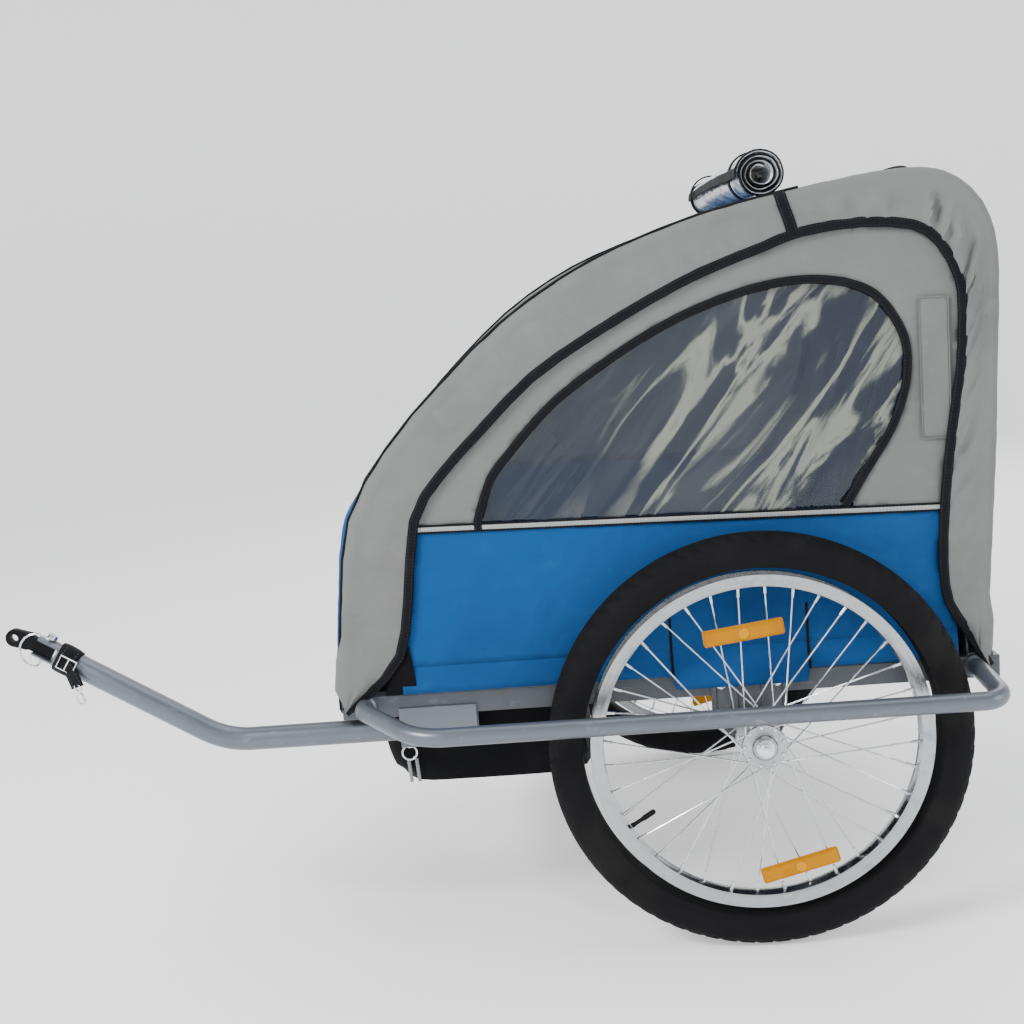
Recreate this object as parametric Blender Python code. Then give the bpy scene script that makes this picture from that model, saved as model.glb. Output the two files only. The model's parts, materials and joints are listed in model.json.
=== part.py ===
"""Two-seat child bicycle trailer. Metres, +Z up. -X is the direction of travel, and -Y is its left side.
The origin is on the ground, under the middle of the whole trailer."""

import math

import bmesh
import bpy
from mathutils import Matrix, Vector

# Driving dimensions
CLEARANCE = 0.0003  # between pieces that touch
RUNNING_GAP = 0.0004  # around a pin or an axle

AXLE_X = 0.300
WHEEL_RADIUS = 0.254
TYRE_HALF_WIDTH = 0.0235
WHEEL_Y = 0.370
RIM_RADIUS = 0.2045
RIM_DEPTH = 0.0165
RIM_HALF_WIDTH = 0.014
SPOKES = 36
SPOKE_RADIUS = 0.0010
SPOKE_SWEEP = math.radians(60)  # angle between a spoke's two ends
SPOKE_PHASE = math.radians(-4)  # sets spokes behind both reflectors
SPOKE_CROSSING = 0.0014  # half the distance between crossing spokes
SPOKE_RIM_Y = 0.003
HUB_HALF_LENGTH = 0.033
HUB_FLANGE_RADIUS = 0.027
HUB_FLANGE_Y = 0.0255
HUB_FLANGE_THICKNESS = 0.005
BEARING_RADIUS = 0.011
BEARING_WIDTH = 0.008
AXLE_RADIUS = 0.006
REFLECTOR_LENGTH = 0.096
REFLECTOR_HEIGHT = 0.020
REFLECTOR_THICKNESS = 0.006
REFLECTOR_EDGE = 0.001  # the spokes bear this far inside the plate's edge

RAIL_Y = 0.3125
RAIL_WIDTH = 0.025
RAIL_BOTTOM_Z = 0.300
RAIL_HEIGHT = 0.027
RAIL_FRONT_X = -0.203
RAIL_REAR_X = 0.600

CABIN_FRONT_X = -0.205
CABIN_LENGTH = 0.817
CABIN_BASE_Z = 0.336
CABIN_HEIGHT = 0.578
HOOP_RADIUS = 0.011
HOOP_INSET = 0.013  # from the fabric's outline to the middle of the tube
FABRIC = 0.002
LEFT_PIVOT_Z = 0.360
RIGHT_PIVOT_Z = 0.410  # higher, so that the right hoop folds down on top of the left one
PIN_RADIUS = 0.004
HINGE_TOP = 0.009  # how far a hinge's ears rise above its pin
HINGE_HALF_WIDTH = 0.006  # narrow enough for the side band to swing over the ears
STRIPE_FRONT_Z = 0.533
STRIPE_REAR_Z = 0.512

ROOF_BAR_X = 0.500
ROOF_BAR_RADIUS = 0.008
ROOF_BAR_DROP = 0.026  # from the middle of the hoop's tube down to the bar's pivot
ROOF_BAR_INSET = 0.006
ROOF_BAR_GAP = 0.024  # between the two half bars

ROLL_X = 0.345
ROLL_RADIUS = 0.028

GUARD_Y = 0.430
GUARD_Z = 0.302
GUARD_RADIUS = 0.011
GUARD_FRONT_X = -0.105
GUARD_REAR_X = 0.578

ARM_Y = -0.305
ARM_RADIUS = 0.0145
ARM_Z = 0.2795
ARM_BEND_X = -0.352
ARM_REAR_X = -0.045
HITCH_PIVOT = (-0.563, 0.410)  # x and z of the hitch pin
HITCH_EYE = (-0.600, 0.428)
HITCH_EYE_RADIUS = 0.011
HITCH_HOLE_RADIUS = 0.005
TONGUE_HALF_WIDTH = 0.005
FORK_HALF_GAP = 0.009
FORK_NOSE = 0.014  # from the hitch pin to the end of the fork
RECEIVER_FRONT_X = -0.134
RECEIVER_LENGTH = 0.095
RECEIVER_WALL = 0.003
LOCK_PIN_X = -0.125

FOOTWELL_HALF_WIDTH = 0.285
FOOTWELL_REAR_X = 0.105
FOOTWELL_DEPTH = 0.096

ROUND = 24  # sides of a round piece
WHEEL_SIDES = 40

PAINTED_SILVER = ("painted_silver", (0.42, 0.47, 0.53), 0.35, 0.6)
RAIL_GREY = ("rail_grey", (0.30, 0.34, 0.36), 0.5, 0.4)
CHROME = ("chrome", (0.75, 0.76, 0.78), 0.15, 1.0)
ALLOY = ("alloy", (0.62, 0.64, 0.66), 0.3, 1.0)
TYRE = ("tyre", (0.012, 0.012, 0.013), 0.75, 0.0)
BLACK_RUBBER = ("black_rubber", (0.015, 0.015, 0.017), 0.6, 0.0)
AMBER = ("amber_reflector", (0.85, 0.33, 0.01), 0.25, 0.0)
GREY_FABRIC = ("grey_fabric", (0.37, 0.38, 0.37), 0.85, 0.0)
BLUE_FABRIC = ("blue_fabric", (0.03, 0.15, 0.38), 0.8, 0.0)
BLACK_FABRIC = ("black_fabric", (0.012, 0.012, 0.016), 0.85, 0.0)
CLEAR_FILM = ("clear_film", (0.70, 0.76, 0.80), 0.1, 0.0)

# The outline of a side, as shares of the cabin's length and height, from the front foot to the rear foot
SIDE_OUTLINE = [
    (0.000, 0.000),
    (0.015, 0.195),
    (0.036, 0.362),
    (0.100, 0.505),
    (0.186, 0.631),
    (0.280, 0.746),
    (0.371, 0.827),
    (0.460, 0.884),
    (0.577, 0.936),
    (0.678, 0.965),
    (0.778, 0.988),
    (0.864, 1.000),
    (0.925, 0.990),
    (0.965, 0.950),
    (0.990, 0.893),
    (1.000, 0.825),
    (0.999, 0.700),
    (0.990, 0.400),
    (0.971, 0.000),
]
# The seam between the sleeve band and the side panel, in the same shares
SEAM = [
    (0.050, 0.000),
    (0.096, 0.070),
    (0.115, 0.190),
    (0.133, 0.355),
    (0.176, 0.445),
    (0.240, 0.533),
    (0.318, 0.633),
    (0.409, 0.711),
    (0.500, 0.777),
    (0.573, 0.822),
    (0.661, 0.863),
    (0.718, 0.888),
    (0.804, 0.898),
    (0.875, 0.886),
    (0.911, 0.851),
    (0.938, 0.779),
    (0.943, 0.707),
    (0.938, 0.590),
    (0.925, 0.484),
    (0.910, 0.318),
    (0.905, 0.190),
    (0.912, 0.105),
    (0.938, 0.042),
    (0.955, 0.000),
]
WINDOW = [
    (0.226, 0.344),
    (0.248, 0.427),
    (0.282, 0.486),
    (0.344, 0.574),
    (0.421, 0.649),
    (0.510, 0.718),
    (0.600, 0.766),
    (0.687, 0.791),
    (0.759, 0.787),
    (0.815, 0.758),
    (0.849, 0.697),
    (0.863, 0.635),
    (0.858, 0.554),
    (0.835, 0.472),
    (0.798, 0.393),
    (0.762, 0.312),
]

# Sizes that follow from these
WHEEL_Z = WHEEL_RADIUS
RAIL_TOP_Z = RAIL_BOTTOM_Z + RAIL_HEIGHT
FLOOR_TOP_Z = RAIL_TOP_Z - 0.001
RAIL_OUTER_Y = RAIL_Y + RAIL_WIDTH / 2
RAIL_INNER_Y = RAIL_Y - RAIL_WIDTH / 2
HOOP_Y = RAIL_Y
BAND_Y = HOOP_Y + HOOP_RADIUS + 0.0005
PANEL_Y = BAND_Y - FABRIC - CLEARANCE
WINDOW_Y = PANEL_Y - FABRIC - CLEARANCE
RIM_INNER_RADIUS = RIM_RADIUS - RIM_DEPTH
RIM_FLAT_RADIUS = RIM_INNER_RADIUS * math.cos(math.pi / WHEEL_SIDES)
SPOKE_START = HUB_FLANGE_RADIUS - 0.0035
SPOKE_REACH = RIM_FLAT_RADIUS - CLEARANCE
ARM_SLOPE = (ARM_Z - HITCH_PIVOT[1]) / (ARM_BEND_X - HITCH_PIVOT[0])
ARM_TILT = math.atan(ARM_SLOPE)


# Building blocks
def material(spec):
    name, colour, roughness, metallic = spec
    made = bpy.data.materials.get(name)
    if made is None:
        made = bpy.data.materials.new(name)
        made.use_nodes = True
        shader = made.node_tree.nodes["Principled BSDF"]
        shader.inputs["Base Color"].default_value = (*colour, 1)
        shader.inputs["Roughness"].default_value = roughness
        shader.inputs["Metallic"].default_value = metallic
        made.diffuse_color = (*colour, 1)
    return made


def piece(name, built, spec, origin=(0, 0, 0)):
    """An object from a bmesh in world coordinates, with its origin at the given point."""
    bmesh.ops.translate(built, verts=built.verts, vec=-Vector(origin))
    bmesh.ops.recalc_face_normals(built, faces=built.faces)
    mesh = bpy.data.meshes.new(name)
    built.to_mesh(mesh)
    built.free()
    mesh.shade_smooth()
    mesh.set_sharp_from_angle(angle=math.radians(35))
    mesh.materials.append(material(spec))
    made = bpy.data.objects.new(name, mesh)
    made.location = origin
    bpy.context.scene.collection.objects.link(made)
    return made


def helper(name, built):
    made = piece(name, built, BLACK_RUBBER)
    made.hide_render = True
    made.display_type = "WIRE"
    return made


def combine(made, built, operation):
    """Joins a second shape to a piece, or cuts it away."""
    other = helper(f"{made.name}_{operation.lower()}_{len(made.modifiers)}", built)
    step = made.modifiers.new(operation.title(), "BOOLEAN")
    step.operation = operation
    step.solver = "EXACT"
    step.object = other
    return made


def join(made, built):
    return combine(made, built, "UNION")


def cut(made, built):
    return combine(made, built, "DIFFERENCE")


def prism(outline, low, high, axis="Y"):
    """A flat outline given a thickness. Along Y the outline is (x, z), along X (y, z) and along Z (x, y)."""

    def at(a, b, along):
        return {"Y": (a, along, b), "X": (along, a, b), "Z": (a, b, along)}[axis]

    built = bmesh.new()
    ends = [[built.verts.new(at(a, b, along)) for a, b in outline] for along in (low, high)]
    built.faces.new(ends[0])
    built.faces.new(list(reversed(ends[1])))
    count = len(outline)
    for i in range(count):
        j = (i + 1) % count
        built.faces.new((ends[0][i], ends[1][i], ends[1][j], ends[0][j]))
    return built


def box(low, high):
    (ax, ay, az), (bx, by, bz) = low, high
    return prism([(ax, az), (bx, az), (bx, bz), (ax, bz)], ay, by)


def lathe(profile, centre, axis="Y", sides=ROUND, turn=0.0):
    """A closed profile of (along, radius) turned round an axis. A radius of 0 is a point on the axis."""
    built = bmesh.new()
    frame = {"X": (0, 1, 2), "Y": (1, 0, 2), "Z": (2, 0, 1)}[axis]
    rings = []
    for along, radius in profile:
        ring = []
        for k in range(sides if radius > 0 else 1):
            angle = turn + 2 * math.pi * k / sides
            place = [0.0, 0.0, 0.0]
            place[frame[0]] = centre[frame[0]] + along
            place[frame[1]] = centre[frame[1]] + radius * math.cos(angle)
            place[frame[2]] = centre[frame[2]] + radius * math.sin(angle)
            ring.append(built.verts.new(place))
        rings.append(ring)
    for i, ring in enumerate(rings):
        after = rings[(i + 1) % len(rings)]
        if len(ring) == 1 and len(after) == 1:
            continue
        for k in range(sides):
            m = (k + 1) % sides
            a, b = len(ring), len(after)
            corners = [ring[k % a], ring[m % a], after[m % b], after[k % b]]
            built.faces.new(dict.fromkeys(corners))
    return built


def rod(centre, low, high, radius, axis="Y", sides=ROUND):
    return lathe([(low, 0), (low, radius), (high, radius), (high, 0)], centre, axis, sides)


def sweep(path, radius, sides=12):
    """A round bar along a path of points, with flat ends."""
    built = bmesh.new()
    points = [Vector(p) for p in path]
    steps = [(b - a).normalized() for a, b in zip(points, points[1:])]
    directions = [steps[0]] + [(a + b).normalized() for a, b in zip(steps, steps[1:])] + [steps[-1]]
    side = directions[0].orthogonal().normalized()
    rings = []
    for i, (point, along) in enumerate(zip(points, directions)):
        if i:
            side = directions[i - 1].rotation_difference(along) @ side
        other = along.cross(side)
        ring = []
        for k in range(sides):
            angle = 2 * math.pi * k / sides
            ring.append(built.verts.new(point + radius * (math.cos(angle) * side + math.sin(angle) * other)))
        rings.append(ring)
    for before, after in zip(rings, rings[1:]):
        for k in range(sides):
            m = (k + 1) % sides
            built.faces.new((before[k], before[m], after[m], after[k]))
    built.faces.new(rings[0])
    built.faces.new(list(reversed(rings[-1])))
    return built


def turned(built, centre, angle, axis="Y"):
    bmesh.ops.rotate(built, verts=built.verts, cent=centre, matrix=Matrix.Rotation(angle, 3, axis))
    return built


def smooth(points, per_span=2):
    """A Catmull-Rom curve through the points."""
    ends = [points[0], *points, points[-1]]
    curve = []
    for a, b, c, d in zip(ends, ends[1:], ends[2:], ends[3:]):
        for k in range(per_span):
            t = k / per_span
            shares = (-t + 2 * t**2 - t**3, 2 - 5 * t**2 + 3 * t**3, t + 4 * t**2 - 3 * t**3, -(t**2) + t**3)
            curve.append(tuple(sum(w * p for w, p in zip(shares, along)) / 2 for along in zip(a, b, c, d)))
    return curve + [tuple(points[-1])]


def rounded(corners, radii, steps=5):
    """A path with its inner corners rounded to arcs of the given radii."""
    corners = [Vector(c) for c in corners]
    path = [corners[0]]
    for before, corner, after, radius in zip(corners, corners[1:], corners[2:], radii):
        a, b = (before - corner).normalized(), (after - corner).normalized()
        half = a.angle(b) / 2
        middle = corner + (a + b).normalized() * radius / math.sin(half)
        start = corner + a * radius / math.tan(half) - middle
        end = corner + b * radius / math.tan(half) - middle
        bend = start.rotation_difference(end)
        for k in range(steps + 1):
            path.append(middle + Matrix.Rotation(bend.angle * k / steps, 3, bend.axis) @ start)
    return path + [corners[-1]]


def offset(points, distance):
    """An open outline moved sideways: a positive distance moves it to the right of its direction."""
    moved = []
    for i, point in enumerate(points):
        before, after = points[max(i - 1, 0)], points[min(i + 1, len(points) - 1)]
        dx, dz = after[0] - before[0], after[1] - before[1]
        length = math.hypot(dx, dz)
        moved.append((point[0] + distance * dz / length, point[1] - distance * dx / length))
    return moved


def on_side(shares):
    return [(CABIN_FRONT_X + u * CABIN_LENGTH, CABIN_BASE_Z + w * CABIN_HEIGHT) for u, w in shares]


def stripe_z(x):
    """Height of the seam under the window, which drops a little towards the rear."""
    share = (x - CABIN_FRONT_X) / CABIN_LENGTH
    return STRIPE_FRONT_Z + (STRIPE_REAR_Z - STRIPE_FRONT_Z) * share


def above(points, height):
    return [p for p in points if p[1] > height(p[0])]


def both_sides(side):
    """-1 for the left side and +1 for the right."""
    return -1 if side == "left" else 1


def slab(outline, sign, inner_y):
    """A fabric sheet that lies in a side's plane."""
    low, high = sorted((sign * inner_y, sign * (inner_y + FABRIC)))
    return prism(outline, low, high)


# Chassis
def make_rails():
    for side in ("left", "right"):
        sign = both_sides(side)
        low, high = sorted((sign * RAIL_INNER_Y, sign * RAIL_OUTER_Y))
        rail = box((RAIL_FRONT_X, low, RAIL_BOTTOM_Z), (RAIL_REAR_X, high, RAIL_TOP_Z))
        piece(f"{side}_side_rail", rail, RAIL_GREY)
    reach = RAIL_INNER_Y - CLEARANCE
    for name, x in (("front_cross_tube", RAIL_FRONT_X + 0.0125), ("rear_cross_tube", RAIL_REAR_X - 0.0125)):
        low, high = (x - 0.0125, -reach, RAIL_BOTTOM_Z), (x + 0.0125, reach, RAIL_TOP_Z)
        piece(name, box(low, high), RAIL_GREY)
    beam = box((AXLE_X - 0.015, -reach, RAIL_BOTTOM_Z), (AXLE_X + 0.015, reach, RAIL_BOTTOM_Z + 0.020))
    piece("axle_beam", beam, RAIL_GREY)


def make_axle_bracket(side):
    """A ribbed plate on the outer face of the rail, with a boss for the axle."""
    sign = both_sides(side)
    inner, outer = RAIL_OUTER_Y + CLEARANCE, RAIL_OUTER_Y + 0.005
    low, high = sorted((sign * inner, sign * outer))
    front, rear, bottom = AXLE_X - 0.052, AXLE_X + 0.040, WHEEL_Z - 0.020
    outline = [
        (front, RAIL_TOP_Z),
        (front, bottom + 0.030),
        (AXLE_X - 0.018, bottom),
        (AXLE_X + 0.018, bottom),
        (rear, bottom + 0.030),
        (rear, RAIL_TOP_Z),
    ]
    made = piece(f"{side}_axle_bracket", prism(outline, low, high), RAIL_GREY)
    centre = (AXLE_X, 0, WHEEL_Z)
    boss = sorted((sign * (inner - 0.028), sign * (outer + 0.003)))
    join(made, rod(centre, boss[0], boss[1], 0.014))
    for x in (front + 0.004, AXLE_X - 0.022, AXLE_X + 0.010, rear - 0.004):
        rib = sorted((sign * (outer - 0.001), sign * (outer + 0.002)))
        join(made, box((x - 0.002, rib[0], bottom + 0.042), (x + 0.002, rib[1], RAIL_TOP_Z - 0.002)))
    cut(made, rod(centre, boss[0] - 0.01, boss[1] + 0.01, AXLE_RADIUS + RUNNING_GAP))


def make_axle(side):
    """A bolt through the hub with a washer and nut outside it, held in the bracket's boss."""
    sign = both_sides(side)
    inner = RAIL_OUTER_Y - 0.026
    hub_end = WHEEL_Y + HUB_HALF_LENGTH + CLEARANCE
    profile = [
        (inner, 0),
        (inner, AXLE_RADIUS),
        (hub_end, AXLE_RADIUS),
        (hub_end, 0.0105),
        (hub_end + 0.002, 0.0105),
        (hub_end + 0.002, 0.009),
        (hub_end + 0.009, 0.009),
        (hub_end + 0.010, 0.0055),
        (hub_end + 0.014, 0.0055),
        (hub_end + 0.014, 0),
    ]
    centre = (AXLE_X, 0, WHEEL_Z)
    piece(f"{side}_axle", lathe([(sign * a, r) for a, r in profile], centre, sides=12), CHROME, centre)


def make_guard(side):
    """The bent tube outside each wheel."""
    sign = both_sides(side)
    face, end_z = RAIL_OUTER_Y + CLEARANCE, RAIL_BOTTOM_Z + RAIL_HEIGHT / 2 + 0.002
    front, rear = GUARD_FRONT_X - 0.070, GUARD_REAR_X - 0.006
    corners = [
        (front, sign * face, end_z),
        (front, sign * (face + 0.022), end_z),
        (GUARD_FRONT_X, sign * GUARD_Y, GUARD_Z),
        (GUARD_REAR_X, sign * GUARD_Y, GUARD_Z),
        (rear, sign * (face + 0.030), end_z),
        (rear, sign * face, end_z),
    ]
    path = rounded(corners, (0.020, 0.070, 0.024, 0.020), 4)
    piece(f"{side}_wheel_guard", sweep(path, GUARD_RADIUS), PAINTED_SILVER)


def make_receiver():
    """The square socket under the left rail for the tow arm, with walls notched at the front for the pin."""
    half = ARM_RADIUS + 0.0005
    outer = half + RECEIVER_WALL
    front, rear = RECEIVER_FRONT_X, RECEIVER_FRONT_X + RECEIVER_LENGTH
    sleeve = box((front, ARM_Y - outer, ARM_Z - outer), (rear, ARM_Y + outer, ARM_Z + outer))
    made = piece("tow_receiver", sleeve, PAINTED_SILVER)
    face = -RAIL_OUTER_Y - CLEARANCE
    low = (front, face - 0.003, ARM_Z - outer)
    join(made, box(low, (rear, ARM_Y - outer + 0.001, ARM_Z + outer - 0.001)))
    join(made, box((front, face - 0.003, ARM_Z), (rear, face, RAIL_BOTTOM_Z + 0.011)))
    cut(made, box((front - 0.01, ARM_Y - half, ARM_Z - half), (rear + 0.01, ARM_Y + half, ARM_Z + half)))
    notch = PIN_RADIUS + RUNNING_GAP
    low = (front - 0.01, ARM_Y - notch, ARM_Z - outer - 0.01)
    cut(made, box(low, (LOCK_PIN_X + notch, ARM_Y + notch, ARM_Z + outer + 0.01)))


def footwell_outline(inset):
    """The side view of the foot trough, which is shallow at the front and deep at the rear."""
    front, rear = RAIL_FRONT_X + 0.026 + inset, FOOTWELL_REAR_X - inset
    top, bottom = RAIL_TOP_Z, RAIL_BOTTOM_Z - FOOTWELL_DEPTH + inset
    return [
        (front, top),
        (front, bottom + 0.050),
        (front + 0.030, bottom + 0.022),
        (front + 0.080, bottom + 0.008),
        (front + 0.150, bottom),
        (rear - 0.012, bottom),
        (rear, bottom + 0.012),
        (rear, top),
    ]


def make_floor():
    wall = 0.003
    tub = prism(footwell_outline(0), -FOOTWELL_HALF_WIDTH, FOOTWELL_HALF_WIDTH)
    made = piece("footwell", tub, BLACK_FABRIC)
    hollow = [(x, z + 0.02 * (z >= RAIL_TOP_Z)) for x, z in footwell_outline(wall)]
    cut(made, prism(hollow, wall - FOOTWELL_HALF_WIDTH, FOOTWELL_HALF_WIDTH - wall))
    reach = RAIL_INNER_Y - CLEARANCE
    front, rear = FOOTWELL_REAR_X + CLEARANCE, RAIL_REAR_X - 0.025 - CLEARANCE
    floor = box((front, -reach, FLOOR_TOP_Z - 0.004), (rear, reach, FLOOR_TOP_Z))
    piece("floor_panel", floor, BLACK_FABRIC)


def x_on(line, z):
    """Where a rising or falling line crosses a height."""
    for (ax, az), (bx, bz) in zip(line, line[1:]):
        if min(az, bz) <= z <= max(az, bz):
            return ax + (bx - ax) * (z - az) / (bz - az)
    return line[-1][0]


def hoop_line(pivot_z):
    """The middle of a hoop's tube, from its front foot to its rear foot, and the x of both pivots."""
    line = offset(smooth(on_side(SIDE_OUTLINE)), HOOP_INSET)
    front = [p for p in line if p[0] < AXLE_X]
    rear = [p for p in line if p[0] > AXLE_X]
    foot_z = pivot_z - HOOP_RADIUS
    above_foot = [p for p in line if p[1] > foot_z + 0.010]
    feet = [(x_on(part, foot_z), foot_z) for part in (front, rear[::-1])]
    pivots = [x_on(part, pivot_z) for part in (front, rear[::-1])]
    return [feet[0], *above_foot, feet[1]], pivots


def make_hinge(side, where, x, pivot_z):
    """Two ears and their pin on top of the rail, for one foot of a hoop."""
    y = both_sides(side) * HOOP_Y
    base = RAIL_TOP_Z + CLEARANCE
    gap, ear = HOOP_RADIUS + 0.0018, 0.003
    foot = box((x - gap - ear, y - 0.0105, base), (x + gap + ear, y + 0.0085, base + 0.004))
    made = piece(f"{side}_{where}_hinge", foot, RAIL_GREY)
    for near in (x - gap - ear, x + gap):
        low = (near, y - HINGE_HALF_WIDTH, base + 0.002)
        join(made, box(low, (near + ear, y + HINGE_HALF_WIDTH, pivot_z + HINGE_TOP)))
    join(made, rod((x, y, pivot_z), -gap - ear - 0.002, gap + ear + 0.002, PIN_RADIUS, "X", 12))


# Seat
def make_seat():
    seat_top = RAIL_TOP_Z + 0.070
    cushion = box((0.130, -0.275, FLOOR_TOP_Z + CLEARANCE), (0.480, 0.275, seat_top))
    piece("seat_cushion", cushion, BLUE_FABRIC)
    lean, thickness = math.radians(14), 0.020
    foot = (0.455, 0, seat_top + thickness * math.sin(lean) + CLEARANCE)
    back = box((foot[0], -0.275, foot[2]), (foot[0] + thickness, 0.275, foot[2] + 0.400))
    piece("seat_back", turned(back, foot, lean), BLUE_FABRIC)
    for side in ("left", "right"):
        middle = both_sides(side) * 0.138
        webbing = [
            (middle - 0.070, 0.380),
            (middle - 0.045, 0.380),
            (middle, 0.110),
            (middle + 0.045, 0.380),
            (middle + 0.070, 0.380),
            (middle + 0.016, 0.050),
            (middle - 0.016, 0.050),
        ]
        outline = [(y, foot[2] + z) for y, z in webbing]
        straps = prism(outline, foot[0] - 0.0035, foot[0] - 0.0005, "X")
        piece(f"{side}_harness", turned(straps, foot, lean), BLACK_FABRIC)


# Hoops and their covers
def make_hoop(side, pivot_z):
    sign = both_sides(side)
    y = sign * HOOP_Y
    line, (front_x, rear_x) = hoop_line(pivot_z)
    pivot = (AXLE_X, y, pivot_z)
    tube = sweep([(x, y, z) for x, z in line], HOOP_RADIUS, 10)
    made = piece(f"{side}_hoop", tube, PAINTED_SILVER, pivot)
    for x in (front_x, rear_x):
        bore = PIN_RADIUS + RUNNING_GAP
        cut(made, rod((x, y, pivot_z), -0.03, 0.03, bore, "X", 12))
    bar_y, bar_z = roof_bar_pivot(sign)
    gap, ear = ROOF_BAR_RADIUS + 0.0006, 0.003
    for near in (ROOF_BAR_X - gap - ear, ROOF_BAR_X + gap):
        top = bar_z + ROOF_BAR_DROP - 0.004
        join(made, box((near, bar_y - 0.007, bar_z - 0.008), (near + ear, bar_y + 0.007, top)))
    pin = rod((ROOF_BAR_X, bar_y, bar_z), -gap - ear / 2, gap + ear / 2, PIN_RADIUS - 0.001, "X", 10)
    join(made, pin)
    band = smooth(on_side(SIDE_OUTLINE)) + list(reversed(smooth(on_side(SEAM), 2)))
    piece(f"{side}_side_band", slab(band, sign, BAND_Y), GREY_FABRIC, pivot)
    seam = smooth(on_side(SEAM), 2)
    window = smooth(on_side(WINDOW), 2)
    arch = above(seam, stripe_z)
    opening = above(window, stripe_z)
    front, rear = arch[0][0], arch[-1][0]
    window_front, window_rear = opening[0][0], opening[-1][0]
    upper = [(front, stripe_z(front)), *arch, (rear, stripe_z(rear)), (window_rear, stripe_z(window_rear))]
    upper += [*reversed(opening), (window_front, stripe_z(window_front))]
    piece(f"{side}_upper_panel", slab(upper, sign, PANEL_Y), GREY_FABRIC, pivot)
    pane = [(window_front - 0.004, stripe_z(window_front) - 0.004), *offset(opening, -0.004)]
    pane.append((window_rear + 0.004, stripe_z(window_rear) - 0.004))
    piece(f"{side}_window", slab(pane, sign, WINDOW_Y), CLEAR_FILM, pivot)
    low_z = max(pivot_z, CABIN_BASE_Z) + CLEARANCE
    lower = [p for p in seam if low_z < p[1] < stripe_z(p[0]) - CLEARANCE]
    front_edge = [p for p in lower if p[0] < AXLE_X]
    rear_edge = [p for p in lower if p[0] > AXLE_X]
    sheet = [(front_edge[0][0], low_z), *front_edge, (front, stripe_z(front) - CLEARANCE)]
    sheet += [(rear, stripe_z(rear) - CLEARANCE), *rear_edge, (rear_edge[-1][0], low_z)]
    piece(f"{side}_lower_panel", slab(sheet, sign, PANEL_Y), BLUE_FABRIC, pivot)


def roof_bar_pivot(sign):
    outline = offset(smooth(on_side(SIDE_OUTLINE)), HOOP_INSET)
    tube_z = min(outline, key=lambda p: abs(p[0] - ROOF_BAR_X))[1]
    return sign * (HOOP_Y - ROOF_BAR_INSET), tube_z - ROOF_BAR_DROP


def make_roof_bar(side):
    """Half of the bar that spreads the two hoops."""
    sign = both_sides(side)
    y, z = roof_bar_pivot(sign)
    ends = sorted((y + sign * 0.009, sign * ROOF_BAR_GAP / 2))
    centre = (ROOF_BAR_X, 0, z)
    bar = rod(centre, ends[0], ends[1], ROOF_BAR_RADIUS, "Y", 12)
    made = piece(f"{side}_roof_bar", bar, PAINTED_SILVER, (ROOF_BAR_X, y, z))
    cut(made, rod((ROOF_BAR_X, y, z), -0.02, 0.02, PIN_RADIUS - 0.001 + RUNNING_GAP, "X", 10))


def notch_for_hinges(made, x):
    """Cuts the lower corners of a sheet clear of the hoops' hinges."""
    for side, pivot_z in (("left", LEFT_PIVOT_Z), ("right", RIGHT_PIVOT_Z)):
        sign = both_sides(side)
        low, high = sorted((sign * (HOOP_Y - 0.0115), sign * (HOOP_Y + 0.05)))
        cut(made, box((x - 0.08, low, RAIL_TOP_Z - 0.01), (x + 0.08, high, pivot_z + HINGE_TOP + 0.001)))


def make_covers():
    """The sheets between the two hoops, and the front cover rolled up on the roof."""
    outline = smooth(on_side(SIDE_OUTLINE))
    inner = offset(outline, HOOP_INSET - HOOP_RADIUS - CLEARANCE)
    reach = BAND_Y - CLEARANCE
    top_z = CABIN_BASE_Z + 0.500 * CABIN_HEIGHT
    roof_front_x = CABIN_FRONT_X + 0.535 * CABIN_LENGTH
    numbered = list(enumerate(outline))
    roof_rear_x = ROOF_BAR_X + 0.005
    spans = {
        "front_panel": [i for i, (x, z) in numbered if x < AXLE_X and z < top_z],
        "roof_panel": [i for i, (x, z) in numbered if roof_front_x < x <= roof_rear_x and z > top_z],
        "back_panel": [i for i, (x, z) in numbered if x > roof_rear_x + 0.005],
    }
    for name, found in spans.items():
        strip = [outline[i] for i in found] + [inner[i] for i in reversed(found)]
        made = piece(name, prism(strip, -reach, reach), BLUE_FABRIC)
        if name != "roof_panel":
            notch_for_hinges(made, outline[found[0]][0])
    resting = offset(outline, -(ROLL_RADIUS + CLEARANCE))
    middle_x, middle_z = min(resting, key=lambda p: abs(p[0] - ROLL_X))
    roll = rod((middle_x, 0, middle_z), -0.300, 0.270, ROLL_RADIUS, "Y", 16)
    piece("rolled_cover", roll, CLEAR_FILM)


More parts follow.
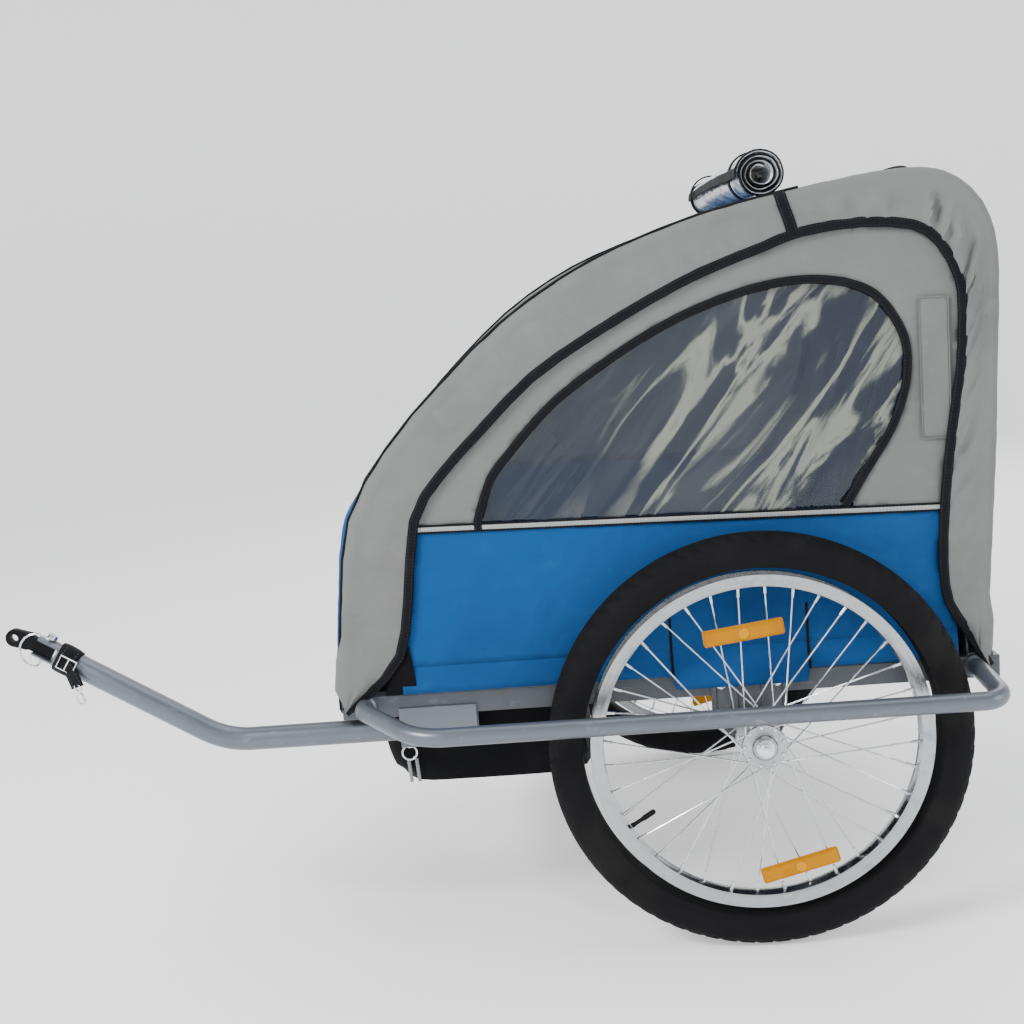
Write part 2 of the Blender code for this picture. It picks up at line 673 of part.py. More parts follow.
# Wheels
def make_wheel(side):
    sign = both_sides(side)
    centre = (AXLE_X, sign * WHEEL_Y, WHEEL_Z)
    bead, half = RIM_RADIUS + 0.0006, TYRE_HALF_WIDTH
    crown = [math.radians(-25 + 230 * k / 10) for k in range(11)]
    middle = (WHEEL_RADIUS + bead) / 2 + 0.002
    rise = WHEEL_RADIUS - middle
    section = [(half * math.cos(a), middle + rise * math.sin(a)) for a in crown]
    section = [(-RIM_HALF_WIDTH, bead)] + list(reversed(section)) + [(RIM_HALF_WIDTH, bead)]
    piece(f"{side}_tyre", lathe(section, centre, "Y", WHEEL_SIDES), TYRE, centre)
    rim = [
        (-RIM_HALF_WIDTH, RIM_RADIUS),
        (-RIM_HALF_WIDTH, RIM_RADIUS - 0.007),
        (-0.008, RIM_INNER_RADIUS),
        (0.008, RIM_INNER_RADIUS),
        (RIM_HALF_WIDTH, RIM_RADIUS - 0.007),
        (RIM_HALF_WIDTH, RIM_RADIUS),
        (0.010, RIM_RADIUS - 0.004),
        (-0.010, RIM_RADIUS - 0.004),
    ]
    piece(f"{side}_rim", lathe(rim, centre, "Y", WHEEL_SIDES), ALLOY, centre)
    make_hub(side, centre)
    inner, outer = AXLE_RADIUS + RUNNING_GAP, BEARING_RADIUS
    for name, place in (("inner", -1), ("outer", 1)):
        near = sign * place * (HUB_HALF_LENGTH - BEARING_WIDTH)
        far = sign * place * (HUB_HALF_LENGTH - 0.0005)
        ring = [(near, inner), (near, outer), (far, outer), (far, inner)]
        piece(f"{side}_{name}_bearing", lathe(ring, centre, "Y", 16), CHROME, centre)
    make_reflector(f"{side}_upper_reflector", centre, sign, 0.138, math.radians(97))
    make_reflector(f"{side}_lower_reflector", centre, sign, 0.159, math.radians(-76))
    valve_top, angle = SPOKE_REACH, math.radians(210.8)
    profile = [(0, 0), (0, 0.0042), (0.012, 0.0042), (0.014, 0.003), (0.034, 0.003), (0.034, 0)]
    stem = lathe(profile, (0, 0, 0), "X", 10)
    turned(stem, (0, 0, 0), math.pi - angle)
    foot = Vector((math.cos(angle), 0, math.sin(angle))) * valve_top + Vector(centre)
    bmesh.ops.translate(stem, verts=stem.verts, vec=foot)
    piece(f"{side}_valve", stem, BLACK_RUBBER, centre)


def make_hub(side, centre):
    """The hub shell with its laced spokes: on each flange every other spoke leads and the rest trail."""
    end, flange, half = HUB_HALF_LENGTH, HUB_FLANGE_Y, HUB_FLANGE_THICKNESS / 2
    seat, seat_depth = BEARING_RADIUS + CLEARANCE, BEARING_WIDTH + CLEARANCE
    bore = AXLE_RADIUS + 0.0015
    half_profile = [
        (flange - half, 0.012),
        (flange - half, HUB_FLANGE_RADIUS),
        (flange + half, HUB_FLANGE_RADIUS),
        (flange + half, 0.0145),
        (end, 0.0145),
        (end, seat),
        (end - seat_depth, seat),
        (end - seat_depth, bore),
    ]
    profile = half_profile + [(-a, r) for a, r in reversed(half_profile)]
    made = piece(f"{side}_hub", lathe(profile, centre), ALLOY, centre)
    per_flange = SPOKES // 2
    for flange_sign in (-1, 1):
        for k in range(per_flange):
            lead = 1 if k % 2 else -1
            angle = 2 * math.pi * (k + (0.5 if flange_sign > 0 else 0)) / per_flange + SPOKE_PHASE
            far_angle = angle + lead * SPOKE_SWEEP
            near_y = flange_sign * flange + lead * SPOKE_CROSSING
            far_y = flange_sign * SPOKE_RIM_Y + lead * SPOKE_CROSSING
            start = (SPOKE_START * math.cos(angle), near_y, SPOKE_START * math.sin(angle))
            end_point = (SPOKE_REACH * math.cos(far_angle), far_y, SPOKE_REACH * math.sin(far_angle))
            path = [Vector(centre) + Vector(p) for p in (start, end_point)]
            join(made, sweep(path, SPOKE_RADIUS, 4))


def spokes_outside(radius):
    """How far from the wheel's middle plane the outer spokes reach at a radius."""
    a, b, turn = SPOKE_START, SPOKE_REACH, math.cos(SPOKE_SWEEP)
    square = a**2 + b**2 - 2 * a * b * turn
    half = a * b * turn - a**2
    share = (math.sqrt(half**2 + square * (radius**2 - a**2)) - half) / square
    return HUB_FLANGE_Y + (SPOKE_RIM_Y - HUB_FLANGE_Y) * share + SPOKE_CROSSING + SPOKE_RADIUS


def make_reflector(name, centre, sign, radius, angle):
    """A long reflector that lies on the outer spokes, square to the radius."""
    inner, outer = radius - REFLECTOR_HEIGHT / 2, radius + REFLECTOR_HEIGHT / 2
    seat = spokes_outside(inner + REFLECTOR_EDGE) + CLEARANCE
    low, high = sorted((sign * seat, sign * (seat + REFLECTOR_THICKNESS)))
    plate = box((inner, low, -REFLECTOR_LENGTH / 2), (outer, high, REFLECTOR_LENGTH / 2))
    turned(plate, (0, 0, 0), -angle)
    bmesh.ops.translate(plate, verts=plate.verts, vec=centre)
    piece(name, plate, AMBER, centre)


# Tow arm and hitch
def along_arm(distance, lift=0.0):
    """A point in the arm's plane, measured from the hitch pin towards the bend and square to the tube."""
    c, s = math.cos(ARM_TILT), math.sin(ARM_TILT)
    x, z = HITCH_PIVOT
    return x + distance * c - lift * s, z + distance * s + lift * c


def make_arm():
    nose_x, nose_z = along_arm(-FORK_NOSE)
    corners = [(nose_x, ARM_Y, nose_z), (ARM_BEND_X, ARM_Y, ARM_Z), (ARM_REAR_X, ARM_Y, ARM_Z)]
    path = rounded(corners, (0.110,), 8)
    pivot = (HITCH_PIVOT[0], ARM_Y, HITCH_PIVOT[1])
    made = piece("tow_arm", sweep(path, ARM_RADIUS, 16), PAINTED_SILVER)
    slot = box((-0.030, ARM_Y - 0.03, -FORK_HALF_GAP), (0.014, ARM_Y + 0.03, FORK_HALF_GAP))
    turned(slot, (0, ARM_Y, 0), -ARM_TILT)
    bmesh.ops.translate(slot, verts=slot.verts, vec=(HITCH_PIVOT[0], 0, HITCH_PIVOT[1]))
    cut(made, slot)
    bore = rod((0, 0, 0), -0.03, 0.03, PIN_RADIUS + RUNNING_GAP, "Z", 12)
    turned(bore, (0, 0, 0), -ARM_TILT)
    bmesh.ops.translate(bore, verts=bore.verts, vec=pivot)
    cut(made, bore)
    cut(made, rod((LOCK_PIN_X, ARM_Y, ARM_Z), -0.03, 0.03, PIN_RADIUS + RUNNING_GAP, "Z", 12))


def make_tongue():
    """The flat black tongue: a round end in the fork, and an eye for the bicycle's axle."""
    pivot = (HITCH_PIVOT[0], ARM_Y, HITCH_PIVOT[1])
    half = FORK_HALF_GAP - CLEARANCE
    eye_x, eye_z = HITCH_EYE
    eye = [math.radians(60 + 205 * k / 10) for k in range(11)]
    outline = [(eye_x + HITCH_EYE_RADIUS * math.cos(a), eye_z + HITCH_EYE_RADIUS * math.sin(a)) for a in eye]
    corner = math.hypot(FORK_NOSE, math.sqrt(ARM_RADIUS**2 - FORK_HALF_GAP**2))
    swing = corner + 0.001  # where the tongue may widen and still turn in the fork
    outline += [along_arm(-swing - 0.0025, -0.0105), along_arm(-swing, -half), along_arm(0.009, -half)]
    outline += [along_arm(0.009, half), along_arm(-swing, half), along_arm(-swing - 0.003, 0.0115)]
    low, high = ARM_Y - TONGUE_HALF_WIDTH, ARM_Y + TONGUE_HALF_WIDTH
    made = piece("hitch_tongue", prism(outline, low, high), BLACK_RUBBER, pivot)
    cut(made, rod((eye_x, ARM_Y, eye_z), -0.02, 0.02, HITCH_HOLE_RADIUS, "Y", 16))
    bore = rod((0, 0, 0), -0.03, 0.03, PIN_RADIUS - 0.001 + RUNNING_GAP, "Z", 12)
    turned(bore, (0, 0, 0), -ARM_TILT)
    bmesh.ops.translate(bore, verts=bore.verts, vec=pivot)
    cut(made, bore)


def make_hitch_pin():
    """The headed pin through the fork, and the wire bail that snaps round it."""
    pivot = (HITCH_PIVOT[0], ARM_Y, HITCH_PIVOT[1])
    top = ARM_RADIUS + 0.0005
    radius = PIN_RADIUS - 0.001
    shank = [(-0.021, 0), (-0.021, radius), (top, radius)]
    head = [(top, 0.0065), (top + 0.006, 0.0065), (top + 0.006, 0)]
    pin = turned(lathe(shank + head, (0, 0, 0), "Z", 12), (0, 0, 0), -ARM_TILT)
    bmesh.ops.translate(pin, verts=pin.verts, vec=pivot)
    piece("hitch_pin", pin, CHROME, pivot)
    wire, plane = 0.0014, ARM_Y - 0.0168
    top_x, top_z = along_arm(0, top + 0.003)
    low_x, low_z = along_arm(0, -0.0190)
    middle_x, middle_z = (top_x + low_x) / 2, (top_z + low_z) / 2
    reach = math.dist((top_x, top_z), (low_x, low_z)) / 2
    start = math.atan2(top_z - middle_z, top_x - middle_x)
    loop = []
    for k in range(13):
        angle = start + math.pi * k / 12
        bulge = 1 + 0.55 * math.sin(math.pi * k / 12)
        out = reach * bulge
        loop.append((middle_x + out * math.cos(angle), plane, middle_z + out * math.sin(angle)))
    path = [(top_x, ARM_Y - 0.0070, top_z), *loop, (low_x, ARM_Y - TONGUE_HALF_WIDTH - 0.0008, low_z)]
    piece("hitch_bail", sweep(path, wire, 6), CHROME, (top_x, ARM_Y, top_z))


def make_strap():
    """The safety strap wound round the arm."""
    centre_x, centre_z = along_arm(0.030)
    inner, outer = ARM_RADIUS + 0.0006, ARM_RADIUS + 0.0045
    ring = lathe([(-0.013, inner), (-0.013, outer), (0.013, outer), (0.013, inner)], (0, 0, 0), "X", 16)
    turned(ring, (0, 0, 0), -ARM_TILT)
    bmesh.ops.translate(ring, verts=ring.verts, vec=(centre_x, ARM_Y, centre_z))
    made = piece("safety_strap", ring, BLACK_FABRIC)
    tail_x, tail_z = centre_x + 0.004, centre_z - 0.008
    side_y = ARM_Y - outer
    tail = [
        (tail_x - 0.008, tail_z),
        (tail_x + 0.008, tail_z),
        (tail_x + 0.014, tail_z - 0.026),
        (tail_x - 0.002, tail_z - 0.028),
    ]
    join(made, prism(tail, side_y - 0.003, side_y + 0.0035))


def make_lock_pin():
    """The pin that holds the arm in its receiver, with a pull ring under its head."""
    outer = ARM_RADIUS + 0.0005 + RECEIVER_WALL
    centre = (LOCK_PIN_X, ARM_Y, ARM_Z)
    under = -outer - CLEARANCE
    head = [(under - 0.006, 0), (under - 0.006, 0.0065), (under, 0.0065)]
    shank = [(under, PIN_RADIUS), (outer, PIN_RADIUS), (outer, 0)]
    made = piece("lock_pin", lathe(head + shank, centre, "Z", 12), CHROME, centre)
    wire = 0.0013
    around = [math.radians(60 * k) for k in range(6)]
    ring = [(wire * math.cos(a), 0.009 + wire * math.sin(a)) for a in around]
    join(made, lathe(ring, (LOCK_PIN_X - 0.002, ARM_Y, ARM_Z + under - 0.0135), "Y", 16))


def main():
    for leftover in list(bpy.data.objects):
        bpy.data.objects.remove(leftover)
    make_rails()
    make_receiver()
    make_floor()
    for side, pivot_z in (("left", LEFT_PIVOT_Z), ("right", RIGHT_PIVOT_Z)):
        make_axle_bracket(side)
        make_axle(side)
        make_guard(side)
        for where, x in zip(("front", "rear"), hoop_line(pivot_z)[1]):
            make_hinge(side, where, x, pivot_z)
        make_hoop(side, pivot_z)
        make_roof_bar(side)
        make_wheel(side)
    make_seat()
    make_covers()
    make_arm()
    make_tongue()
    make_hitch_pin()
    make_strap()
    make_lock_pin()


main()
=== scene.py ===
"""The looks of a two-seat child bicycle trailer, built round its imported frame.
Metres, +Z up. -X is the direction of travel and -Y is the trailer's left side."""

import json
import math

import bmesh
import bpy
from mathutils import Matrix, Vector, geometry, noise


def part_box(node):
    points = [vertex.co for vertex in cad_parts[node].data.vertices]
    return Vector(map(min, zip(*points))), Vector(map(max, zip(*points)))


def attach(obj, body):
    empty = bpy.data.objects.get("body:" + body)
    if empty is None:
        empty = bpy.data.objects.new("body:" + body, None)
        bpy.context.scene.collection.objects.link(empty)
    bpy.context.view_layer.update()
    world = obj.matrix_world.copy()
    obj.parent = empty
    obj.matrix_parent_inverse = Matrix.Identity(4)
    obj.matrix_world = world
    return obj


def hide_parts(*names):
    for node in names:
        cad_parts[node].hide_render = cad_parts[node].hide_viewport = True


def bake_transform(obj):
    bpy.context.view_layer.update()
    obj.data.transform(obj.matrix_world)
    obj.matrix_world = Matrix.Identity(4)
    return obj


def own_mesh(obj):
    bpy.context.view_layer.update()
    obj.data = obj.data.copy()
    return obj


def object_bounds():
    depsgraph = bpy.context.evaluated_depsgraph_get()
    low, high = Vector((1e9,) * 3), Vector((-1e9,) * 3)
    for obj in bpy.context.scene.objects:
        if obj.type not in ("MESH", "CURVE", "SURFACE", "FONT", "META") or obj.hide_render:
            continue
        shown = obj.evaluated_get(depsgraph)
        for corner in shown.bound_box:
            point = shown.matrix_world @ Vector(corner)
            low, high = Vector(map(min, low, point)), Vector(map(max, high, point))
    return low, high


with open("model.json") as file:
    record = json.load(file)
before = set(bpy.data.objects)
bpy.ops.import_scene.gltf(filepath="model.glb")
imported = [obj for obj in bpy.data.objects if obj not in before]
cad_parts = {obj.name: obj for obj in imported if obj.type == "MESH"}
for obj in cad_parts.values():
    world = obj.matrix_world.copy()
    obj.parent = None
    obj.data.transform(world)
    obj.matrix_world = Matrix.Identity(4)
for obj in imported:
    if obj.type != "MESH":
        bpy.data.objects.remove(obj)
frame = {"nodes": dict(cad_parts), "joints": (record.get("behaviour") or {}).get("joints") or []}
CAD_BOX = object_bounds()
TAU = 2 * math.pi
SIDES = (("left", -1), ("right", 1))

# Places and sizes read from the frame
JOINTS = {joint["name"]: joint for joint in frame["joints"]}
RAIL_LOW, RAIL_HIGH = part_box("left_side_rail")
RAIL_TOP = RAIL_HIGH.z
RAIL_OUTER = -RAIL_LOW.y
HOOP_Y = -JOINTS["left_hoop_fold"]["pos_m"][1]
BAND_Y = -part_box("left_side_band")[0].y
PANEL_Y = -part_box("left_lower_panel")[0].y
WINDOW_Y = -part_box("left_window")[0].y
WHEEL_CENTRES = {side: Vector(JOINTS[f"{side}_wheel_spin"]["pos_m"]) for side, _ in SIDES}
PIVOT_Z = {side: JOINTS[f"{side}_hoop_fold"]["pos_m"][2] for side, _ in SIDES}
ARM_LOW, ARM_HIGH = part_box("tow_arm")
HITCH_PIN = Vector(JOINTS["hitch_yaw"]["pos_m"])

# Sizes of the soft parts and tubes
HOOP_INSET = 0.013  # from the edge of the sleeve to the middle of the hoop's tube
SLEEVE_RADIUS = 0.0128
BINDING = 0.012  # widths of the binding tapes
WINDOW_BINDING = 0.0105
HEM_BINDING = 0.013
CLOTH = 0.0009  # thickness
GUARD_RADIUS = 0.011
ARM_RADIUS = 0.0145


# Camera, floor and lights
LENS, SENSOR = 52.5, 36  # millimetres
CAMERA_PLACE = (0.0562, -2.0949, 0.8132)
CAMERA_TURNS = (0.480, 8.714, -4.071)  # yaw, pitch and roll, in degrees
FLOOR_PROFILE = (  # reach from the middle, and height
    (0.0, 0.0),
    (3.0, 0.0),
    (5.5, 0.0),
    (6.4, 0.25),
    (7.0, 0.9),
    (7.2, 2.0),
    (7.3, 5.0),
)
FLOOR_SIDES = 64
LIGHTS = (  # name, place, target, size, power, colour
    ("key", (-2.3, -2.3, 2.9), (0.1, -0.2, 0.45), (1.3, 1.0), 165, (1, 0.99, 0.97)),
    ("top", (0.5, 0.3, 3.4), (0.1, 0, 0.4), (3.2, 2.4), 62, (1, 1, 1)),
    ("side", (3.2, -1.6, 1.7), (0.2, 0, 0.4), (1.4, 2.0), 34, (0.95, 0.98, 1)),
    ("rear", (1.8, 3.4, 2.4), (0.2, 0, 0.4), (2.4, 1.6), 55, (1, 1, 1)),
)


def set_camera():
    data = bpy.data.cameras.new("camera")
    data.lens = LENS
    data.sensor_width = SENSOR
    camera = bpy.data.objects.new("camera", data)
    yaw, pitch, roll = (math.radians(angle) for angle in CAMERA_TURNS)
    turn = Matrix.Rotation(yaw, 3, "Y") @ Matrix.Rotation(pitch, 3, "X") @ Matrix.Rotation(roll, 3, "Z")
    right, down, ahead = turn @ Matrix(((1, 0, 0), (0, 0, -1), (0, 1, 0)))
    camera.matrix_world = Matrix((right, -down, -ahead)).transposed().to_4x4()
    camera.location = CAMERA_PLACE
    bpy.context.scene.collection.objects.link(camera)
    bpy.context.scene.camera = camera


def add_light(name, place, target, size, power, colour):
    data = bpy.data.lights.new(name, "AREA")
    data.shape = "RECTANGLE"
    data.size, data.size_y = size
    data.energy = power
    data.color = colour
    lamp = bpy.data.objects.new(name, data)
    lamp.location = place
    lamp.rotation_mode = "QUATERNION"
    lamp.rotation_quaternion = (Vector(target) - Vector(place)).to_track_quat("-Z", "Y")
    bpy.context.scene.collection.objects.link(lamp)


def set_stage():
    """A pale floor that curves up into a backdrop on every side, and four soft lights."""
    built = bmesh.new()
    rings = []
    for reach, height in FLOOR_PROFILE:
        places = [(reach * math.cos(a), reach * math.sin(a), height) for a in spread(FLOOR_SIDES)]
        rings.append([built.verts.new(place) for place in places])
    for low, high in zip(rings, rings[1:]):
        for k in range(FLOOR_SIDES):
            m = (k + 1) % FLOOR_SIDES
            built.faces.new((low[k], low[m], high[m], high[k]))
    bmesh.ops.remove_doubles(built, verts=built.verts, dist=1e-5)
    mesh = bpy.data.meshes.new("floor")
    built.to_mesh(mesh)
    mesh.shade_smooth()
    floor = bpy.data.objects.new("floor", mesh)
    bpy.context.scene.collection.objects.link(floor)
    paint = Paint("floor_paint", (0.92, 0.92, 0.915), roughness=0.8)
    paint.set("Emission Color", (1, 1, 1, 1))
    paint.set("Emission Strength", 0.40)
    mesh.materials.append(paint.material)
    world = bpy.data.worlds.new("studio")
    world.use_nodes = True
    world.node_tree.nodes["Background"].inputs["Color"].default_value = (0.90, 0.95, 1.0, 1)
    world.node_tree.nodes["Background"].inputs["Strength"].default_value = 0.46
    bpy.context.scene.world = world
    for light in LIGHTS:
        add_light(*light)


def spread(count, start=0.0):
    """Angles all the way round."""
    return [start + TAU * k / count for k in range(count)]


# Shaders
THREAD = 0.0012  # pitches of the fine patterns
RIB, STITCH = 0.0016, 0.0042
LATHE_MARK = 0.0009
PRISM = 0.0026


class Value:
    """An output of a shader node. Arithmetic on it adds Math nodes."""

    def __init__(self, paint, socket):
        self.paint = paint
        self.socket = socket

    def maths(self, operation, *others):
        inputs = dict(enumerate((self, *others)))
        return self.paint.node("Math", {"operation": operation}, inputs)

    def __add__(self, other):
        return self.maths("ADD", other)

    def __mul__(self, other):
        return self.maths("MULTIPLY", other)

    def __sub__(self, other):
        return self.maths("SUBTRACT", other)

    def __rsub__(self, other):
        return self.paint.node("Math", {"operation": "SUBTRACT"}, {0: other, 1: self})

    def __pow__(self, other):
        return self.maths("POWER", other)

    __radd__ = __add__
    __rmul__ = __mul__

    def sine(self):
        return self.maths("SINE")

    def size(self):
        return self.maths("ABSOLUTE")

    def ramp(self, low, high):
        """0 below low, 1 above high and smooth between them."""
        limits = {"From Min": low, "From Max": high}
        return self.paint.node("MapRange", {"interpolation_type": "SMOOTHSTEP"}, {"Value": self, **limits})


class Paint:
    """A material: a Principled shader with constants on its sockets, and the nodes that feed it."""

    def __init__(self, name, colour, roughness=0.5, metallic=0.0, **constants):
        self.material = bpy.data.materials.new(name)
        self.material.use_nodes = True
        self.tree = self.material.node_tree
        self.shader = self.tree.nodes["Principled BSDF"]
        self.colour = (*colour, 1)
        self.set("Base Color", self.colour)
        self.set("Roughness", roughness)
        self.set("Metallic", metallic)
        for socket, value in constants.items():
            self.set(socket.replace("_", " ").title().replace("Ior", "IOR"), value)

    def set(self, socket, value):
        self.feed(self.shader.inputs[socket], value)

    def feed(self, socket, value):
        if isinstance(value, Value):
            self.tree.links.new(value.socket, socket)
        else:
            socket.default_value = value

    def node(self, kind, settings=None, inputs=None, output=0):
        """Any node: its settings first, and then its sockets' values or links."""
        made = self.tree.nodes.new(f"ShaderNode{kind}")
        for key, value in (settings or {}).items():
            setattr(made, key, value)
        for key, value in (inputs or {}).items():
            self.feed(made.inputs[key], value)
        return Value(self, made.outputs[output])

    def place(self):
        return self.node("TexCoord", output=3)

    def split(self, vector):
        return [self.node("SeparateXYZ", inputs={0: vector}, output=k) for k in range(3)]

    def on_cloth(self):
        """Distances in metres along and across a sheet."""
        return self.split(self.node("UVMap", {"uv_map": "cloth"}))[:2]

    def cloud(self, scale, detail=3.0, stretch=None, distortion=0.0, turn=0.0):
        """Smooth noise from 0 to 1, in the object's own space, which may be turned about Y."""
        where = self.place()
        if turn:
            where = self.node("VectorRotate", {"rotation_type": "Y_AXIS"}, {"Vector": where, "Angle": turn})
        if stretch:
            where = self.node("VectorMath", {"operation": "MULTIPLY"}, {0: where, 1: stretch})
        sockets = {"Vector": where, "Scale": scale, "Detail": detail, "Distortion": distortion}
        return self.node("TexNoise", inputs=sockets)

    def blend(self, share, first, second):
        """A colour between two."""
        return self.node("Mix", {"data_type": "RGBA"}, {0: share, 6: first, 7: second}, output=2)

    def tint(self, share, other):
        """Moves the base colour towards another."""
        self.colour = self.blend(share, self.colour, (*other, 1) if isinstance(other, tuple) else other)
        self.set("Base Color", self.colour)

    def emboss(self, height, distance, strength=1.0):
        """Adds a height pattern, in metres, to the normals."""
        sockets = {"Height": height, "Distance": distance, "Strength": strength}
        if self.shader.inputs["Normal"].links:
            sockets["Normal"] = Value(self, self.shader.inputs["Normal"].links[0].from_socket)
        self.set("Normal", self.node("Bump", inputs=sockets))


def coated_cloth(name, colour, shade, light, thread=THREAD, crease=0.0035, sheeted=True, shine=0.3):
    """Coated plain weave: fine threads, soft creases and a little dust."""
    paint = Paint(
        name, colour, 0.66, specular_ior_level=shine, sheen_weight=0.2 * shine, sheen_roughness=0.45
    )
    if sheeted:
        along, across = paint.on_cloth()
    else:
        x, y, z = paint.split(paint.place())
        along, across = x + z * 0.6, y + z * 0.8
    warp = (along * (TAU / thread)).sine()
    weft = (across * (TAU / thread)).sine()
    weave = warp * weft
    fading = paint.cloud(5.0, 4.0)
    paint.tint(fading.ramp(0.42, 0.72), shade)
    paint.tint(paint.cloud(38.0, 5.0).ramp(0.55, 0.80) * 0.35, light)
    paint.tint(weave.ramp(0.0, 1.0) * 0.16, light)
    folds = paint.cloud(7.0, 2.5, (1.0, 1.0, 1.6), 1.2)
    fine = paint.cloud(34.0, 3.0)
    paint.emboss(folds, crease)
    paint.emboss(fine, crease * 0.16)
    paint.emboss(weave, thread * 0.12, 0.6)
    paint.set("Roughness", 0.58 + fine * 0.16)
    return paint.material


def tape(name, colour, light):
    """Woven binding tape with ribs across it and a line of stitches near each edge."""
    paint = Paint(name, colour, 0.7, specular_ior_level=0.12)
    along, across = paint.on_cloth()
    ribs = (along * (TAU / RIB)).sine()
    edge = (across - 0.5).size()
    row = edge.ramp(0.27, 0.31) * (1 - edge.ramp(0.33, 0.37))
    stitches = row * (along * (TAU / STITCH)).sine().ramp(-0.2, 0.2)
    paint.tint(paint.cloud(30.0, 4.0).ramp(0.5, 0.8) * 0.4, light)
    paint.tint(stitches * 0.7, tuple(min(1, 2.2 * c + 0.02) for c in light))
    paint.emboss(ribs, 0.0002, 0.5)
    paint.emboss(stitches, 0.0004)
    paint.set("Roughness", 0.62 + ribs * 0.05)
    return paint.material


def clear_vinyl(name, base, glare, thin, thick):
    """Clear film with a dark base colour where it is smooth, and a painted reflection along its wrinkles,
    where it is lighter and more opaque.
    """
    paint = Paint(name, base, 0.12, specular_ior_level=0.7, coat_roughness=0.05)
    slope = math.radians(50)
    ripple = paint.cloud(4.5, 4.0, (0.40, 1.0, 1.7), 1.0, slope)
    streak = paint.cloud(7.0, 6.0, (0.32, 1.0, 2.0), 1.6, slope)
    patch = paint.cloud(3.4, 3.0, (0.6, 1.0, 1.2), 0.6, slope)
    # Masks of the painted reflection: thin streaks and wider bands along the wrinkles, joined in share.
    ridge = 1 - (streak - 0.5).size() * 9.0
    marks = ridge.ramp(0.30, 0.95) * patch.ramp(0.40, 0.58)
    wide = (1 - (ripple - 0.52).size() * 7.0).ramp(0.2, 1.0) * patch.ramp(0.44, 0.62)
    share = (marks * 0.75 + wide * 0.20).ramp(0.02, 0.85)
    # Painted reflection: along the masks the base colour goes towards the glare colour and the film grows
    # more opaque.
    paint.tint(share, glare)
    paint.set("Alpha", thin + share * (thick - thin))
    paint.set("Roughness", 0.07 + share * 0.12)
    paint.emboss(ripple, 0.010)
    paint.emboss(streak, 0.003)
    return paint.material


def enamel(name, colour, worn, metallic=0.55, roughness=0.32, peel=0.00012):
    """Sprayed paint on steel: fine orange peel, faint scuffs and dust."""
    paint = Paint(name, colour, roughness, metallic, coat_weight=0.25, coat_roughness=0.18)
    scuffs = paint.cloud(60.0, 6.0, (1.0, 1.0, 2.5), 0.6)
    dust = paint.cloud(11.0, 5.0)
    paint.tint(scuffs.ramp(0.60, 0.72) * 0.45, worn)
    paint.tint(dust.ramp(0.50, 0.80) * 0.35, tuple(0.6 * c for c in colour))
    paint.emboss(paint.cloud(620.0, 2.0), peel)
    paint.set("Roughness", roughness + dust * 0.12 + scuffs.ramp(0.58, 0.74) * 0.12)
    return paint.material


def plated(name, colour, dull, roughness=0.13, grain=0.00003):
    """Bright plate with cloudy marks and fine polishing lines."""
    paint = Paint(name, colour, roughness, 1.0)
    marks = paint.cloud(90.0, 5.0)
    paint.tint(marks.ramp(0.50, 0.75) * 0.6, dull)
    paint.emboss(paint.cloud(900.0, 2.0, (1.0, 4.0, 1.0)), grain)
    paint.set("Roughness", roughness + marks.ramp(0.45, 0.75) * 0.16)
    return paint.material


def turned_alloy(name, colour, dull):
    """Alloy with the ring marks of a lathe round the wheel's axle."""
    paint = Paint(name, colour, 0.24, 1.0)
    x, _, z = paint.split(paint.place())
    centre = WHEEL_CENTRES["left"]
    radius = ((x - centre.x) ** 2.0 + (z - centre.z) ** 2.0) ** 0.5
    rings = (radius * (TAU / LATHE_MARK)).sine()
    marks = paint.cloud(50.0, 5.0)
    paint.tint(marks.ramp(0.52, 0.76) * 0.5, dull)
    paint.tint(rings.ramp(-1.0, 1.0) * 0.15, dull)
    paint.emboss(rings, 0.00005, 0.7)
    paint.set("Roughness", 0.20 + marks.ramp(0.45, 0.8) * 0.2)
    return paint.material


def moulded_rubber(name, colour, dusty, roughness=0.72):
    """Matt rubber with a fine grain and road dust."""
    paint = Paint(name, colour, roughness, specular_ior_level=0.10)
    dust = paint.cloud(14.0, 6.0, None, 0.5)
    paint.tint(dust.ramp(0.48, 0.80) * 0.5, dusty)
    paint.emboss(paint.cloud(700.0, 3.0), 0.00012)
    paint.set("Roughness", roughness - 0.06 + dust * 0.18)
    return paint.material


def amber_lens(name):
    """A lens over a grid of small prisms."""
    paint = Paint(
        name, (0.60, 0.235, 0.0), 0.2, specular_ior_level=0.1, coat_weight=0.02, coat_roughness=0.06
    )
    along, across = paint.on_cloth()
    grid = (along * (TAU / PRISM)).sine() * (across * (TAU / PRISM)).sine()
    paint.tint(grid.ramp(-0.4, 0.9) * 0.55, (0.70, 0.32, 0.0))
    paint.tint(paint.cloud(35.0, 3.0).ramp(0.45, 0.75) * 0.35, (0.42, 0.11, 0.0))
    paint.emboss(grid, 0.0006)
    paint.set("Roughness", 0.14 + grid.ramp(-1.0, 1.0) * 0.12)
    return paint.material


